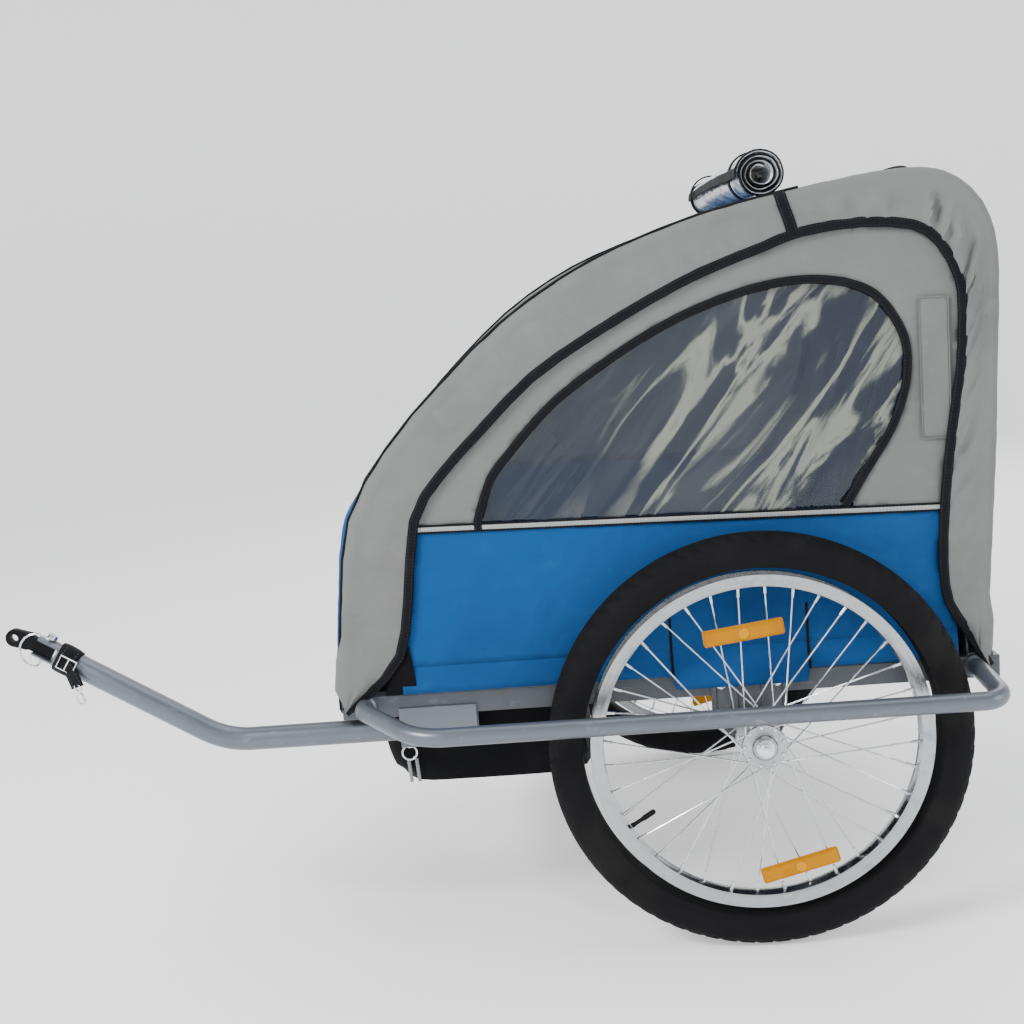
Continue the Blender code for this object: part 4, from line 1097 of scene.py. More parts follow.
def make_covers(finishes):
    outline = outline_3d()
    bar_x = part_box("left_roof_bar")[0].x
    front_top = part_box("front_panel")[1].z
    roof_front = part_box("roof_panel")[0].x
    roof_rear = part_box("roof_panel")[1].x
    rear_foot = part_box("back_panel")[0].z
    middle_x = (CAD_BOX[0].x + CAD_BOX[1].x) / 2 + 0.2
    front = [p for p in outline if p.x < middle_x and p.z < front_top]
    front = [Vector((front[0].x, 0, z)) for z in (RAIL_TOP - 0.016, RAIL_TOP - 0.008, RAIL_TOP)] + front
    roof = [p for p in outline if p.z > front_top and roof_front < p.x < roof_rear + 0.004]
    back = [p for p in outline if p.x >= roof_rear and p.z > rear_foot]
    back = [p for p in back if p.x > bar_x]
    back += [Vector((back[-1].x, 0, z)) for z in (RAIL_TOP + 0.004, RAIL_TOP - 0.006)]
    for name, line in (("front", front), ("roof", roof), ("back", back)):
        bulge = COVER_BULGES[name]
        line = even(line, COVER_ROWS)
        length = sum((b - a).length for a, b in zip(line, line[1:]))
        for side, sign in SIDES:
            low_y, high_y = sorted((0.0, sign * COVER_REACH))
            cover = surface(
                f"{name}_cover_{side}", cover_rows(line, low_y, high_y, bulge, COVER_SEED), finishes["blue"]
            )
            thicken(cover, CLOTH)
            apply_modifiers(cover)
            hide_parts(f"{name}_panel")
            lay_on_chassis(cover)
            for end, index in (("front", 0), ("rear", -1)):
                if name == "back" and end == "rear":
                    continue
                edge = cover_rows(line, low_y, high_y, bulge, COVER_SEED)[index]
                way = line[1] - line[0] if index == 0 else line[-1] - line[-2]
                out = Vector((-way.z, 0, way.x)).normalized()
                raised, facing = [p + out * 0.0008 for p in edge], [out] * len(edge)
                hem = ribbon(f"{name}_{end}_hem_{side}", raised, facing, HEM_BINDING, finishes["tape"])
                lay_on_chassis(hem)
        middle = [rows[0] for rows in cover_rows(line, 0.0, COVER_REACH, bulge, COVER_SEED)]
        ways = [(b - a).normalized() for a, b in zip(middle, middle[1:])]
        ways.append(ways[-1])
        out = [Vector((-w.z, 0, w.x)) for w in ways]
        raised = [p + o * 0.0003 for p, o in zip(middle, out)]
        seam = ribbon(f"{name}_centre_seam", raised, out, 0.009, finishes["blue"], 0.0010, 0.0004)
        lay_on_chassis(seam)
    for side, sign in SIDES:
        tip = Sleeve(side, sign).tips[0]
        edge = [p for p in outline if p.x < (roof_front + roof_rear) / 2]
        edge = even([Vector((edge[0].x, 0, tip.z)), *edge], PIPING_POINTS)
        line = []
        for i, p in enumerate(edge):
            way = (edge[min(i + 1, PIPING_POINTS - 1)] - edge[max(i - 1, 0)]).normalized()
            line.append(p + Vector((-way.z, 0, way.x)) * 0.0004 + Vector((0, sign * (HOOP_Y + 0.001), 0)))
        piping = tube(f"{side}_edge_piping", line, 0.0027, finishes["tape"], 10)
        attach(piping, f"{side}_side")
        make_gusset(side, sign, finishes)


def make_gusset(side, sign, finishes):
    """The black elastic gusset at the front corner, between the sleeve's seam and the lower panel."""
    base = RAIL_TOP + 0.0008
    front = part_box(f"{side}_lower_panel")[0].x
    outline = [
        (front - 0.022, base),
        (front - 0.016, base + 0.020),
        (front + 0.012, base + 0.060),
        (front + 0.018, base),
    ]
    gusset = cloth_sheet(
        f"{side}_gusset", outline, 0.006, lambda x, z: sign * (PANEL_Y + 0.0016), finishes["black"]
    )
    declare_sheet(outline)
    apply_modifiers(gusset)
    pivot = PIVOT_Z[side]
    if base + 0.060 > pivot:
        pivot - 0.012
        pivot + 0.012
        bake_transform(gusset)
    else:
        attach(gusset, "chassis")


def lay_on_chassis(made):
    """The piece stays on the chassis, with its modifiers applied and a mesh of its own."""
    apply_modifiers(made)
    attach(made, "chassis")
    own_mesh(made)


ROLL_TURNS, ROLL_STATIONS = 3.3, 60
ROLL_POINTS = 86  # round the whole spiral


def make_roll(finishes):
    """The front cover's clear sheet rolled up and held on the roof by two straps."""
    low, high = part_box("rolled_cover")
    centre, radius = (low + high) / 2, (high.z - low.z) / 2

    def at(k, y):
        share = k / ROLL_POINTS
        angle = 1.1 + TAU * ROLL_TURNS * share
        size = radius * (0.34 + 0.60 * share)
        size *= 1 + 0.05 * noise.noise(Vector((y * 24, angle * 0.8, 2)))
        size += 0.0010 * noise.noise(Vector((y * 70, angle * 1.7, 9)))
        oval = Vector((math.cos(angle), 0, math.sin(angle) * 0.94))
        sag = Vector((0.003 * math.sin(y * 8), 0, 0.0015 * math.sin(y * 11 + 1)))
        return Vector((centre.x, y, centre.z)) + sag + oval * size * (
            1 + 0.10 * math.exp(-((y - low.y) / 0.02) ** 2)
        )

    ys = [low.y + 0.004 + (high.y - low.y - 0.008) * s / (ROLL_STATIONS - 1) for s in range(ROLL_STATIONS)]
    roll = surface(
        "rolled_film", [[at(k, y) for k in range(ROLL_POINTS + 1)] for y in ys], finishes["roll_film"]
    )
    thicken(roll, 0.0008)
    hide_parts("rolled_cover")
    steps = [(at(k + 1, ys[0]) - at(k, ys[0])).length for k in range(ROLL_POINTS)]
    made = [roll]
    for name, y in (("near", ys[0] + 0.004), ("far", ys[-1] - 0.004)):
        path = [at(k, y) for k in range(ROLL_POINTS + 1)]
        axis = Vector((centre.x, y, centre.z))
        out = [(p - axis).normalized() for p in path]
        path = [p + o * 0.0006 for p, o in zip(path, out)]
        made.append(ribbon(f"roll_binding_{name}", path, out, HEM_BINDING, finishes["tape"], 0.0018))
    edge = [at(ROLL_POINTS, y) for y in ys]
    out = [(p - Vector((centre.x, p.y, centre.z))).normalized() for p in edge]
    made.append(
        ribbon(
            "roll_binding_edge",
            [p + o * 0.0008 for p, o in zip(edge, out)],
            out,
            HEM_BINDING,
            finishes["tape"],
        )
    )
    for name, y in (("near", low.y + 0.085), ("far", high.y - 0.070)):
        hold = []
        for angle in spread(48, 0.4):
            way = Vector((math.cos(angle), 0, math.sin(angle)))
            hold.append((Vector((centre.x, y, centre.z)) + way * (radius + 0.0006), way))
        hold.append(hold[0])
        made.append(
            ribbon(
                f"roll_strap_{name}",
                [p for p, _ in hold],
                [w for _, w in hold],
                0.016,
                finishes["tape"],
                0.0016,
            )
        )
    for piece in made:
        lay_on_chassis(piece)


# Seat, harness and footwell
VOXEL = 0.0075
PAD_FRAMES = 18
HARNESS_POINTS, HARNESS_PAD = 60, (14, 38)  # points along a strap, and those that its pad covers
BAG_COLUMNS, BAG_LEVELS = 56, 15
BAG_FLOOR = (0.92, 0.7, 0.45, 0.2, 0.02)  # rings of the bag's floor, as shares of its walls' reach


def pad_form(name, low, high, crown, finish, sections=(26, 18)):
    """A closed cushion: crowned top, rounded sides that pull in between its corners."""
    built = bmesh.new()
    bmesh.ops.create_cube(built, size=1)
    bmesh.ops.subdivide_edges(built, edges=built.edges, cuts=sections[0], use_grid_fill=True)
    middle, half = (low + high) / 2, (high - low) / 2
    for vert in built.verts:
        u, v, w = (2 * c for c in vert.co)
        waist = 1 - 0.035 * (1 - abs(v) ** 2) * abs(u) ** 4
        deep = 1 - 0.050 * (1 - abs(u) ** 2) * abs(v) ** 4
        rise = 1 + crown * (1 - u * u) * (1 - v * v) * (w > 0)
        edge = 1 - 0.16 * max(abs(u), abs(v)) ** 6
        vert.co = middle + Vector((u * half.x * waist, v * half.y * deep, w * half.z * rise * edge))
    return from_bmesh(name, built, finish, 60)


def puffed(made, pressure, limit):
    """Blows a pad up as cloth, held near its start, and keeps the shape."""
    remesh = made.modifiers.new("grid", "REMESH")
    remesh.mode = "VOXEL"
    remesh.voxel_size = VOXEL
    apply_modifiers(made)
    start = [v.co.copy() for v in made.data.vertices]
    step = made.modifiers.new("cloth", "CLOTH")
    step.settings.quality = 4
    step.settings.mass = 0.25
    step.settings.use_pressure = True
    step.settings.uniform_pressure_force = pressure
    step.settings.tension_stiffness = 18
    step.settings.compression_stiffness = 12
    step.settings.shear_stiffness = 6
    step.settings.bending_stiffness = 0.4
    step.settings.effector_weights.gravity = 0
    step.collision_settings.use_collision = False
    scene = bpy.context.scene
    for number in range(1, PAD_FRAMES + 1):
        scene.frame_set(number)
    apply_modifiers(made)
    scene.frame_set(1)
    for vert, first in zip(made.data.vertices, start):
        shift = vert.co - first
        if shift.length > limit:
            vert.co = first + shift.normalized() * limit
    return made


def sewn(made, lines, depth, width):
    """Presses channels into a pad along lines given as (start, end, which way is in)."""
    for a, b, inward in lines:
        a, b, inward = Vector(a), Vector(b), Vector(inward)
        span = b - a
        for vert in made.data.vertices:
            share = min(1.0, max(0.0, (vert.co - a).dot(span) / span.length_squared))
            off = vert.co - (a + span * share)
            high = -off.dot(inward)
            flat = (off + inward * high).length
            if abs(high) < 0.05 and flat < width * 3:
                vert.co += inward * depth * math.exp(-((flat / width) ** 2)) * (high > -0.02)
    return made


SEAT_LEAN = math.radians(14)


def make_seat(finishes):
    low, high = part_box("seat_cushion")
    inset = Vector((0.006, 0.008, 0.006))
    cushion = pad_form("seat_cushion_pad", low + inset, high - inset, 0.10, finishes["navy"])
    puffed(cushion, 3.0, 0.008)
    channels = []
    for x in (low.x + 0.11, low.x + 0.22):
        channels.append(((x, low.y + 0.02, high.z), (x, high.y - 0.02, high.z), (0, 0, -1)))
    channels.append(((low.x + 0.02, 0, high.z), (high.x - 0.02, 0, high.z), (0, 0, -1)))
    sewn(cushion, channels, 0.011, 0.008)
    cushion.modifiers.new("fine", "SUBSURF").levels = 1
    cushion.modifiers["fine"].render_levels = 1
    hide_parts("seat_cushion")
    lay_on_chassis(cushion)
    rim = [
        Vector((x, y, (low.z + high.z) / 2 + 0.004))
        for x, y in ((low.x + 0.002, low.y + 0.02), (low.x + 0.002, high.y - 0.02))
    ]
    welt = tube("cushion_front_welt", smooth_path(rim, 30), 0.0028, finishes["tape"], 10)
    lay_on_chassis(welt)
    make_seat_back(finishes)


def lean_point(x, y, z):
    """A place on the seat back: x forward of its rear face, z up along it."""
    low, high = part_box("seat_back")
    foot = Vector((high.x - math.tan(SEAT_LEAN) * (high.z - low.z), 0, low.z))
    c, s = math.cos(SEAT_LEAN), math.sin(SEAT_LEAN)
    return foot + Vector((z * s - x * c, y, z * c + x * s))


def make_seat_back(finishes):
    low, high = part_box("seat_back")
    tall = (high.z - low.z) / math.cos(SEAT_LEAN) - 0.012
    half_wide = (high.y - low.y) / 2 - 0.008
    pad = pad_form(
        "seat_back_pad", Vector(
            (0.003, -half_wide, 0.008)
        ), Vector((0.015, half_wide, tall)), 0.0, finishes["navy"]
    )
    puffed(pad, 3.0, 0.006)
    for vert in pad.data.vertices:
        vert.co = lean_point(*vert.co)
    inward = lean_point(0, 0, 0) - lean_point(1, 0, 0)
    channels = []
    for y in (-0.18, -0.09, 0.0, 0.09, 0.18):
        channels.append((lean_point(0.018, y, 0.04), lean_point(0.018, y, tall - 0.04), inward))
    sewn(pad, channels, 0.006, 0.007)
    pad.modifiers.new("fine", "SUBSURF").levels = 1
    pad.modifiers["fine"].render_levels = 1
    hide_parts("seat_back")
    lay_on_chassis(pad)
    top = [lean_point(0.009, y, tall) for y in (-half_wide, half_wide)]
    hem = tube("seat_back_welt", even(top, 30), 0.0035, finishes["tape"], 10)
    lay_on_chassis(hem)


def make_harness(side, sign, finishes):
    """Two shoulder straps with pads that meet at a buckle over the seat."""
    low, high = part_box(f"{side}_harness")
    centre = (low.y + high.y) / 2
    pieces = []
    for k in (-1, 1):
        top = lean_point(0.026, centre + k * 0.060, 0.375)
        chest = lean_point(0.034, centre + k * 0.050, 0.22)
        buckle = lean_point(0.040, centre + k * 0.006, 0.055)
        way = even(smooth_path([top, chest, buckle], HARNESS_POINTS), HARNESS_POINTS)
        ahead = (lean_point(1, 0, 0) - lean_point(0, 0, 0)).normalized()
        place = "inner" if k * sign < 0 else "outer"
        facing = [ahead] * HARNESS_POINTS
        strap = ribbon(f"{side}_strap_{place}", way, facing, 0.024, finishes["webbing"], 0.0018)
        pad_path = [p + ahead * 0.0025 for p in way[slice(*HARNESS_PAD)]]
        count = len(pad_path)
        widths = [0.040 * min(1.0, 0.72 + 0.28 * math.sin(math.pi * i / (count - 1))) for i in range(count)]
        pad_name = f"{side}_shoulder_pad_{place}"
        pad = ribbon(pad_name, pad_path, [ahead] * count, widths, finishes["padding"], 0.0060, 0.002)
        pieces += [strap, pad]
    ahead = (lean_point(1, 0, 0) - lean_point(0, 0, 0)).normalized()
    spot = lean_point(0.042, centre, 0.050)
    buckle = block(
        f"{side}_buckle",
        spot - Vector((0.006, 0.019, 0.024)),
        spot + Vector((0.005, 0.019, 0.022)),
        finishes["rubber"],
        0.003,
    )
    crotch = smooth_path(
        [spot + Vector((0, 0, -0.02)), spot + Vector((-0.05, 0, -0.050)), spot + Vector((-0.13, 0, -0.046))],
        30,
    )
    tongue = ribbon(f"{side}_crotch_strap", crotch, [(0, 0, 1)] * 30, 0.024, finishes["webbing"], 0.0018)
    pieces += [buckle, tongue]
    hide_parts(f"{side}_harness")
    for piece in pieces:
        lay_on_chassis(piece)


def make_footwell(finishes):
    """The hanging footwell bag: a shell that sags between its bound edges, with two straps under it."""
    low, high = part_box("footwell")
    rings = []
    for level in range(BAG_LEVELS):
        t = level / (BAG_LEVELS - 1)
        z = high.z + (low.z - high.z) * t
        pinch = 0.006 * math.sin(math.pi * t)
        ring = []
        for angle in spread(BAG_COLUMNS):
            c, s = math.cos(angle), math.sin(angle)
            round_off = 10 if t < 0.9 else 7
            reach = (abs(c) ** round_off + abs(s) ** round_off) ** (-1 / round_off)
            slope = 0.034 * t**4 * (c < 0)
            x = (low.x + high.x) / 2 + ((high.x - low.x) / 2 - pinch - slope) * c * reach
            y = ((high.y - low.y) / 2 - pinch) * s * reach
            soft = 0.0022 * wave(x + y, z, 30)
            ring.append(Vector((x + soft * c, y + soft * s, z)))
        rings.append(ring)
    middle = Vector(((low.x + high.x) / 2, 0, low.z))
    for share in BAG_FLOOR:
        ring = []
        for p in rings[BAG_LEVELS - 1]:
            spot = middle.lerp(p, share)
            ring.append(Vector((spot.x, spot.y, low.z + 0.0008 + 0.0016 * wave(spot.x, spot.y, 33, 1.4))))
        rings.append(ring)
    bag = surface("footwell_bag", rings, finishes["black"], round_columns=True)
    thicken(bag, 0.0014, 1.0)
    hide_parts("footwell")
    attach(bag, "chassis")
    for k, x in enumerate((low.x + 0.046, low.x + 0.056)):
        rise = [
            Vector((x + 0.002 * i / 12, low.y - 0.0022, low.z + 0.030 - 0.030 * i / 12)) for i in range(13)
        ]
        band = ribbon(
            f"footwell_strap_{k + 1}", rise, [(0, -1, 0)] * 13, 0.0045, finishes["strap_grey"], 0.0012
        )
        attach(band, "chassis")
    top = []
    for x, y in ((low.x, low.y), (high.x, low.y), (high.x, high.y), (low.x, high.y), (low.x, low.y)):
        top.append(Vector((x, y, high.z - 0.004)))
    lip = tube("footwell_welt", even(top, 160)[:-1], 0.0028, finishes["tape"], 8, closed=True)
    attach(lip, "chassis")


def make_floor_cover(finishes):
    low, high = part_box("floor_panel")
    rows = []
    for i in range(40):
        x = low.x + (high.x - low.x) * i / 39
        row = []
        for j in range(60):
            y = low.y + (high.y - low.y) * j / 59
            row.append(Vector((x, y, high.z - 0.001 + 0.0016 * wave(x, y, 90))))
        rows.append(row)
    sheet = surface("floor_cloth", rows, finishes["black"])
    thicken(sheet, 0.0016)
    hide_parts("floor_panel")
    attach(sheet, "chassis")


# Wheels
SECTION_POINTS, SECTION_REACH = 57, 122  # across the tyre, and how far round in degrees
TREAD_STEPS, TREAD_BLOCKS = 432, 72
BLOCK_GROOVE, CENTRE_GROOVE = 0.0022, 0.0018
RIM_DEPTH = 0.0165
VALVE_PROFILE = (  # share of the length, radius
    (0.0, 0.0032),
    (0.10, 0.0030),
    (0.13, 0.0026),
    (0.45, 0.0025),
    (0.50, 0.0033),
    (0.90, 0.0033),
    (0.98, 0.0026),
    (1.0, 0.0016),
)
SPOKE_RADIUS = 0.00105
SPOKE_CROSSING = 0.0014  # from the flange's middle to the middle of a spoke on either side of it
SPOKE_SWEEP = math.radians(60)
SPOKE_PHASE = math.radians(-4)
FLANGE_Y, FLANGE_RADIUS = 0.0255, 0.027
PER_FLANGE = 18
SPOKE_START = 0.0235


def half_sizes(node):
    low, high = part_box(node)
    return (high.x - low.x) / 2, (high.y - low.y) / 2


def make_tyre(side, centre, finishes):
    """A road tyre: round section, side ribs, and a tread cut into slanted blocks."""
    radius, half = half_sizes(f"{side}_tyre")
    rim_radius = half_sizes(f"{side}_rim")[0]
    seat = rim_radius + 0.0004
    middle = (radius + seat) / 2 - 0.002
    tall = radius - middle
    section = []
    for k in range(SECTION_POINTS):
        angle = math.radians(-SECTION_REACH + 2 * SECTION_REACH * k / (SECTION_POINTS - 1))
        y = half * math.sin(angle)
        r = middle + tall * math.cos(angle)
        if abs(angle) > math.radians(62):
            r += 0.0006 * math.sin(angle * 46)
        section.append((y, max(r, seat), abs(angle)))
    rows = []
    for i, angle in enumerate(spread(TREAD_STEPS)):
        row = []
        for y, r, lean in section:
            deep = 0.0
            if lean < math.radians(50):
                slant = i / TREAD_STEPS * TREAD_BLOCKS + (abs(y) / half) * 0.9 + (0.5 if y > 0 else 0)
                groove = abs((slant % 1.0) - 0.5)
                if groove < 0.14 and lean > math.radians(9):
                    deep = BLOCK_GROOVE
            if math.radians(7.2) < lean < math.radians(11.5):
                deep = CENTRE_GROOVE
            reach = r - deep
            row.append(centre + Vector((reach * math.cos(angle), y, reach * math.sin(angle))))
        rows.append(row)
    tyre = surface(f"{side}_tyre_tread", rows, finishes["tyre"], round_rows=True, round_columns=True)
    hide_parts(f"{side}_tyre")
    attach(tyre, f"{side}_wheel")


def make_rim(side, centre, finishes):
    radius, half = half_sizes(f"{side}_rim")
    inner = radius - RIM_DEPTH
    profile = [
        (-half, radius),
        (-half + 0.0006, radius + 0.0002),
        (-half + 0.0016, radius - 0.0004),
        (-half + 0.0020, radius - 0.0060),
        (0.0, radius - 0.0075),
        (half - 0.0020, radius - 0.0060),
        (half - 0.0016, radius - 0.0004),
        (half - 0.0006, radius + 0.0002),
        (half, radius),
        (half, radius - 0.0050),
        (half - 0.0008, radius - 0.0070),
        (half - 0.0004, radius - 0.0085),
        (half - 0.0030, inner + 0.0020),
        (0.0060, inner + 0.0003),
        (0.0, inner),
        (-0.0060, inner + 0.0003),
        (-half + 0.0030, inner + 0.0020),
        (-half + 0.0004, radius - 0.0085),
        (-half + 0.0008, radius - 0.0070),
        (-half, radius - 0.0050),
    ]
    rim = lathe(f"{side}_rim_hoop", profile, centre, finishes["alloy"], 160)
    nipples = []
    for flange, k in ((f, k) for f in (-1, 1) for k in range(PER_FLANGE)):
        near, end = spoke_ends(flange, k)
        way = (end - near).normalized()
        tip = centre + end
        stem = [tip - way * 0.0105, tip - way * 0.010, tip - way * 0.002, tip + way * 0.0006]
        nipples.append(tube(f"{side}_nipple", stem, [0.0013, 0.0019, 0.0021, 0.0024], finishes["steel"], 8))
    made = joined(f"{side}_rim_and_nipples", [rim, *nipples])
    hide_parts(f"{side}_rim")
    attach(made, f"{side}_wheel")


def spoke_ends(flange, k):
    """A spoke's two ends, from the wheel's centre."""
    lead = 1 if k % 2 else -1
    angle = TAU * (k + (0.5 if flange > 0 else 0)) / PER_FLANGE + SPOKE_PHASE
    far = angle + lead * SPOKE_SWEEP
    reach = half_sizes("left_rim")[0] - RIM_DEPTH
    cross = lead * SPOKE_CROSSING
    near = Vector((SPOKE_START * math.cos(angle), flange * FLANGE_Y + cross, SPOKE_START * math.sin(angle)))
    end = Vector((reach * math.cos(far), flange * 0.003 + cross, reach * math.sin(far)))
    return near, end


def make_hub(side, sign, centre, finishes):
    """The hub shell with its flanges, its spokes with bent heads, a nut and a dust cap."""
    end = half_sizes(f"{side}_hub")[1]
    shell = [
        (0.0, 0.0105),
        (FLANGE_Y - 0.010, 0.0110),
        (FLANGE_Y - 0.0040, 0.0150),
        (FLANGE_Y - 0.0022, 0.0215),
        (FLANGE_Y - 0.0018, FLANGE_RADIUS - 0.0008),
        (FLANGE_Y - 0.0008, FLANGE_RADIUS),
        (FLANGE_Y + 0.0008, FLANGE_RADIUS),
        (FLANGE_Y + 0.0018, FLANGE_RADIUS - 0.0008),
        (FLANGE_Y + 0.0022, 0.0190),
        (FLANGE_Y + 0.0040, 0.0155),
        (end - 0.0010, 0.0145),
        (end, 0.0135),
        (end - 0.0006, 0.0108),
    ]
    profile = [(-a, r) for a, r in reversed(shell[1:])] + shell
    parts = [lathe(f"{side}_shell", profile, centre, finishes["alloy"], 72, closed=False)]
    for flange, k in ((f, k) for f in (-1, 1) for k in range(PER_FLANGE)):
        near, tip = spoke_ends(flange, k)
        lead = 1 if k % 2 else -1
        way = (tip - near).normalized()
        head = near + Vector((0, -lead * 0.0042, 0))
        elbow = [near - Vector((0, lead * 0.0012, 0)), near + way * 0.0012]
        path = [centre + p for p in (head, *elbow, tip - way * 0.006)]
        parts.append(tube(f"{side}_spoke", path, SPOKE_RADIUS, finishes["steel"], 8))
        across = Vector((0, lead * 0.0006, 0))
        knob = [centre + head - across, centre + head, centre + head + across]
        parts.append(tube(f"{side}_head", knob, [0.0014, 0.0020, 0.0013], finishes["steel"], 8))
    made = joined(f"{side}_hub_and_spokes", parts)
    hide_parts(f"{side}_hub")
    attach(made, f"{side}_wheel")
    cap = [(0.0, 0.0100), (0.0012, 0.0102), (0.0016, 0.0096), (0.0016, 0.0062)]
    outer = centre + Vector((0, sign * (end - 0.0010), 0))
    turned = [(sign * a, r) for a, r in cap]
    cover = lathe(f"{side}_dust_cap", turned, outer, finishes["alloy"], 48, closed=False)
    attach(cover, f"{side}_wheel")
    make_axle_end(side, sign, centre, end, finishes)


def make_axle_end(side, sign, centre, end, finishes):
    """The axle's outer end: a nut outside the hub, on the chassis."""
    low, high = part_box(f"{side}_axle")
    tip = high.y if sign > 0 else low.y
    start = centre.y + sign * end
    room = abs(tip - start)
    nut = bmesh.new()
    bmesh.ops.create_cone(
        nut, cap_ends=True, segments=6, radius1=0.0088, radius2=0.0088, depth=max(0.003, room * 0.62)
    )
    bmesh.ops.rotate(nut, verts=nut.verts, cent=(0, 0, 0), matrix=Matrix.Rotation(math.pi / 2, 3, "X"))
    bmesh.ops.translate(nut, verts=nut.verts, vec=(centre.x, start + sign * (0.0008 + room * 0.33), centre.z))
    made = from_bmesh(f"{side}_axle_nut", nut, finishes["chrome"], 30)
    soften(made, 0.0007, 2)
    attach(made, "chassis")


def make_reflector(node, body, centre, sign, finishes):
    """A framed lens of small prisms, with a round boss at its middle."""
    low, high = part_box(node)
    mesh = frame["nodes"][node].data
    middle = (low + high) / 2
    out = Vector((middle.x - centre.x, 0, middle.z - centre.z))
    up = out.normalized()
    along = Vector((-up.z, 0, up.x))
    thick = high.y - low.y
    inner_y = low.y if sign > 0 else high.y
    half_long = max(abs((v.co - middle).dot(along)) for v in mesh.vertices)
    half_tall = max(abs((v.co - middle).dot(up)) for v in mesh.vertices)

    def slab_at(name, a, b, y0, y1, finish, corner, bevel):
        """A plate with rounded ends, from y0 to y1 out from the spokes."""
        built = bmesh.new()
        layer = built.loops.layers.uv.new("cloth")
        loop = []
        for turn, (p, q) in enumerate(((1, 1), (-1, 1), (-1, -1), (1, -1))):
            for k in range(6):
                angle = math.radians(90 * turn + 90 * k / 5)
                across, rise = p * (a - corner), q * (b - corner)
                loop.append((across + corner * math.cos(angle), rise + corner * math.sin(angle)))
        rings = []
        for y in (y0, y1):
            spot = Vector((middle.x, inner_y + sign * y, middle.z))
            rings.append([built.verts.new(spot + along * p + up * q) for p, q in loop])
        count = len(loop)
        for k in range(count):
            m = (k + 1) % count
            built.faces.new((rings[0][k], rings[0][m], rings[1][m], rings[1][k]))
        built.faces.new(rings[0])
        built.faces.new(rings[1])
        for face in built.faces:
            for corner_loop in face.loops:
                rest = corner_loop.vert.co - middle
                corner_loop[layer].uv = (rest.dot(along), rest.dot(up))
        made = from_bmesh(name, built, finish, 30)
        soften(made, bevel, 2)
        return made

    back = slab_at(f"{node}_tray", half_long, half_tall, 0.0, thick * 0.45, finishes["amber"], 0.003, 0.0006)
    lens = slab_at(
        f"{node}_lens",
        half_long - 0.002,
        half_tall - 0.002,
        thick * 0.4,
        thick * 0.86,
        finishes["amber"],
        0.0025,
        0.0006,
    )
    parts = [back, lens]
    for k in (-1, 1):
        rib = []
        for p in (-half_long + 0.006, half_long - 0.006):
            spot = Vector((middle.x, inner_y + sign * thick * 0.88, middle.z))
            rib.append(spot + along * p + up * k * (half_tall - 0.0028))
        parts.append(tube("rib", even(rib, 6), 0.0007, finishes["amber"], 6))
    disc = [Vector((middle.x, inner_y + sign * thick * share, middle.z)) for share in (0.5, 1.0)]
    parts.append(tube("boss", disc, 0.0062, finishes["amber"], 24))
    made = joined(f"{node}_lens_and_tray", parts)
    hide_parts(node)
    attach(made, body)


def make_valve(side, finishes):
    node = f"{side}_valve"
    low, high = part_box(node)
    centre = WHEEL_CENTRES[side]
    middle = (low + high) / 2
    way = Vector((centre.x - middle.x, 0, centre.z - middle.z)).normalized()
    mesh = frame["nodes"][node].data
    reach = [(v.co - middle).dot(way) for v in mesh.vertices]
    a, b = min(reach), max(reach)
    path = [middle + way * (a + (b - a) * t) for t, _ in VALVE_PROFILE]
    made = tube(f"{side}_valve_and_cap", path, [r for _, r in VALVE_PROFILE], finishes["rubber"], 20)
    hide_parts(node)
    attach(made, f"{side}_wheel")


def make_wheel(side, sign, finishes):
    centre = WHEEL_CENTRES[side]
    make_tyre(side, centre, finishes)
    make_rim(side, centre, finishes)
    make_hub(side, sign, centre, finishes)
    for place in ("upper", "lower"):
        make_reflector(f"{side}_{place}_reflector", f"{side}_wheel", centre, sign, finishes)
    make_valve(side, finishes)


# Tubes
FOOT_CLEARANCE = 0.0003


def make_guard(side, sign, finishes):
    low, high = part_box(f"{side}_wheel_guard")
    bar_y = max(abs(low.y), abs(high.y)) - GUARD_RADIUS
    bar_z = low.z + GUARD_RADIUS
    end_z = high.z - GUARD_RADIUS
    face = RAIL_OUTER + FOOT_CLEARANCE
    front, rear = low.x + GUARD_RADIUS, high.x - GUARD_RADIUS
    corners = [
        (front, sign * face, end_z),
        (front, sign * (face + 0.022), end_z),
        (front + 0.070, sign * bar_y, bar_z),
        (rear, sign * bar_y, bar_z),
        (rear - 0.006, sign * (face + 0.030), end_z),
        (rear - 0.006, sign * face, end_z),
    ]
    path = rounded(corners, (0.020, 0.070, 0.024, 0.020))
    guard = tube(f"{side}_guard_tube", path, GUARD_RADIUS, finishes["silver"], 32)
    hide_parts(f"{side}_wheel_guard")
    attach(guard, "chassis")
    for name, corner in (("front", corners[0]), ("rear", corners[-1])):
        foot = Vector(corner)
        profile = [(0.0, 0.0135), (0.0016, 0.0140), (0.0034, 0.0118), (0.0040, GUARD_RADIUS)]
        turned = [(sign * a, r) for a, r in profile]
        weld = lathe(f"{side}_guard_{name}_weld", turned, foot, finishes["silver"], 36, closed=False)
        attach(weld, "chassis")


ARM_Y = (ARM_LOW.y + ARM_HIGH.y) / 2
ARM_Z = ARM_LOW.z + ARM_RADIUS
ARM_BEND_X = -0.352
ARM_BEND_RADIUS = 0.110
SHANK_RADIUS = 0.003  # of the hitch pin
WIRE = 0.0013
ARM_TILT = math.atan2(HITCH_PIN.z - ARM_Z, HITCH_PIN.x - ARM_BEND_X) - math.pi


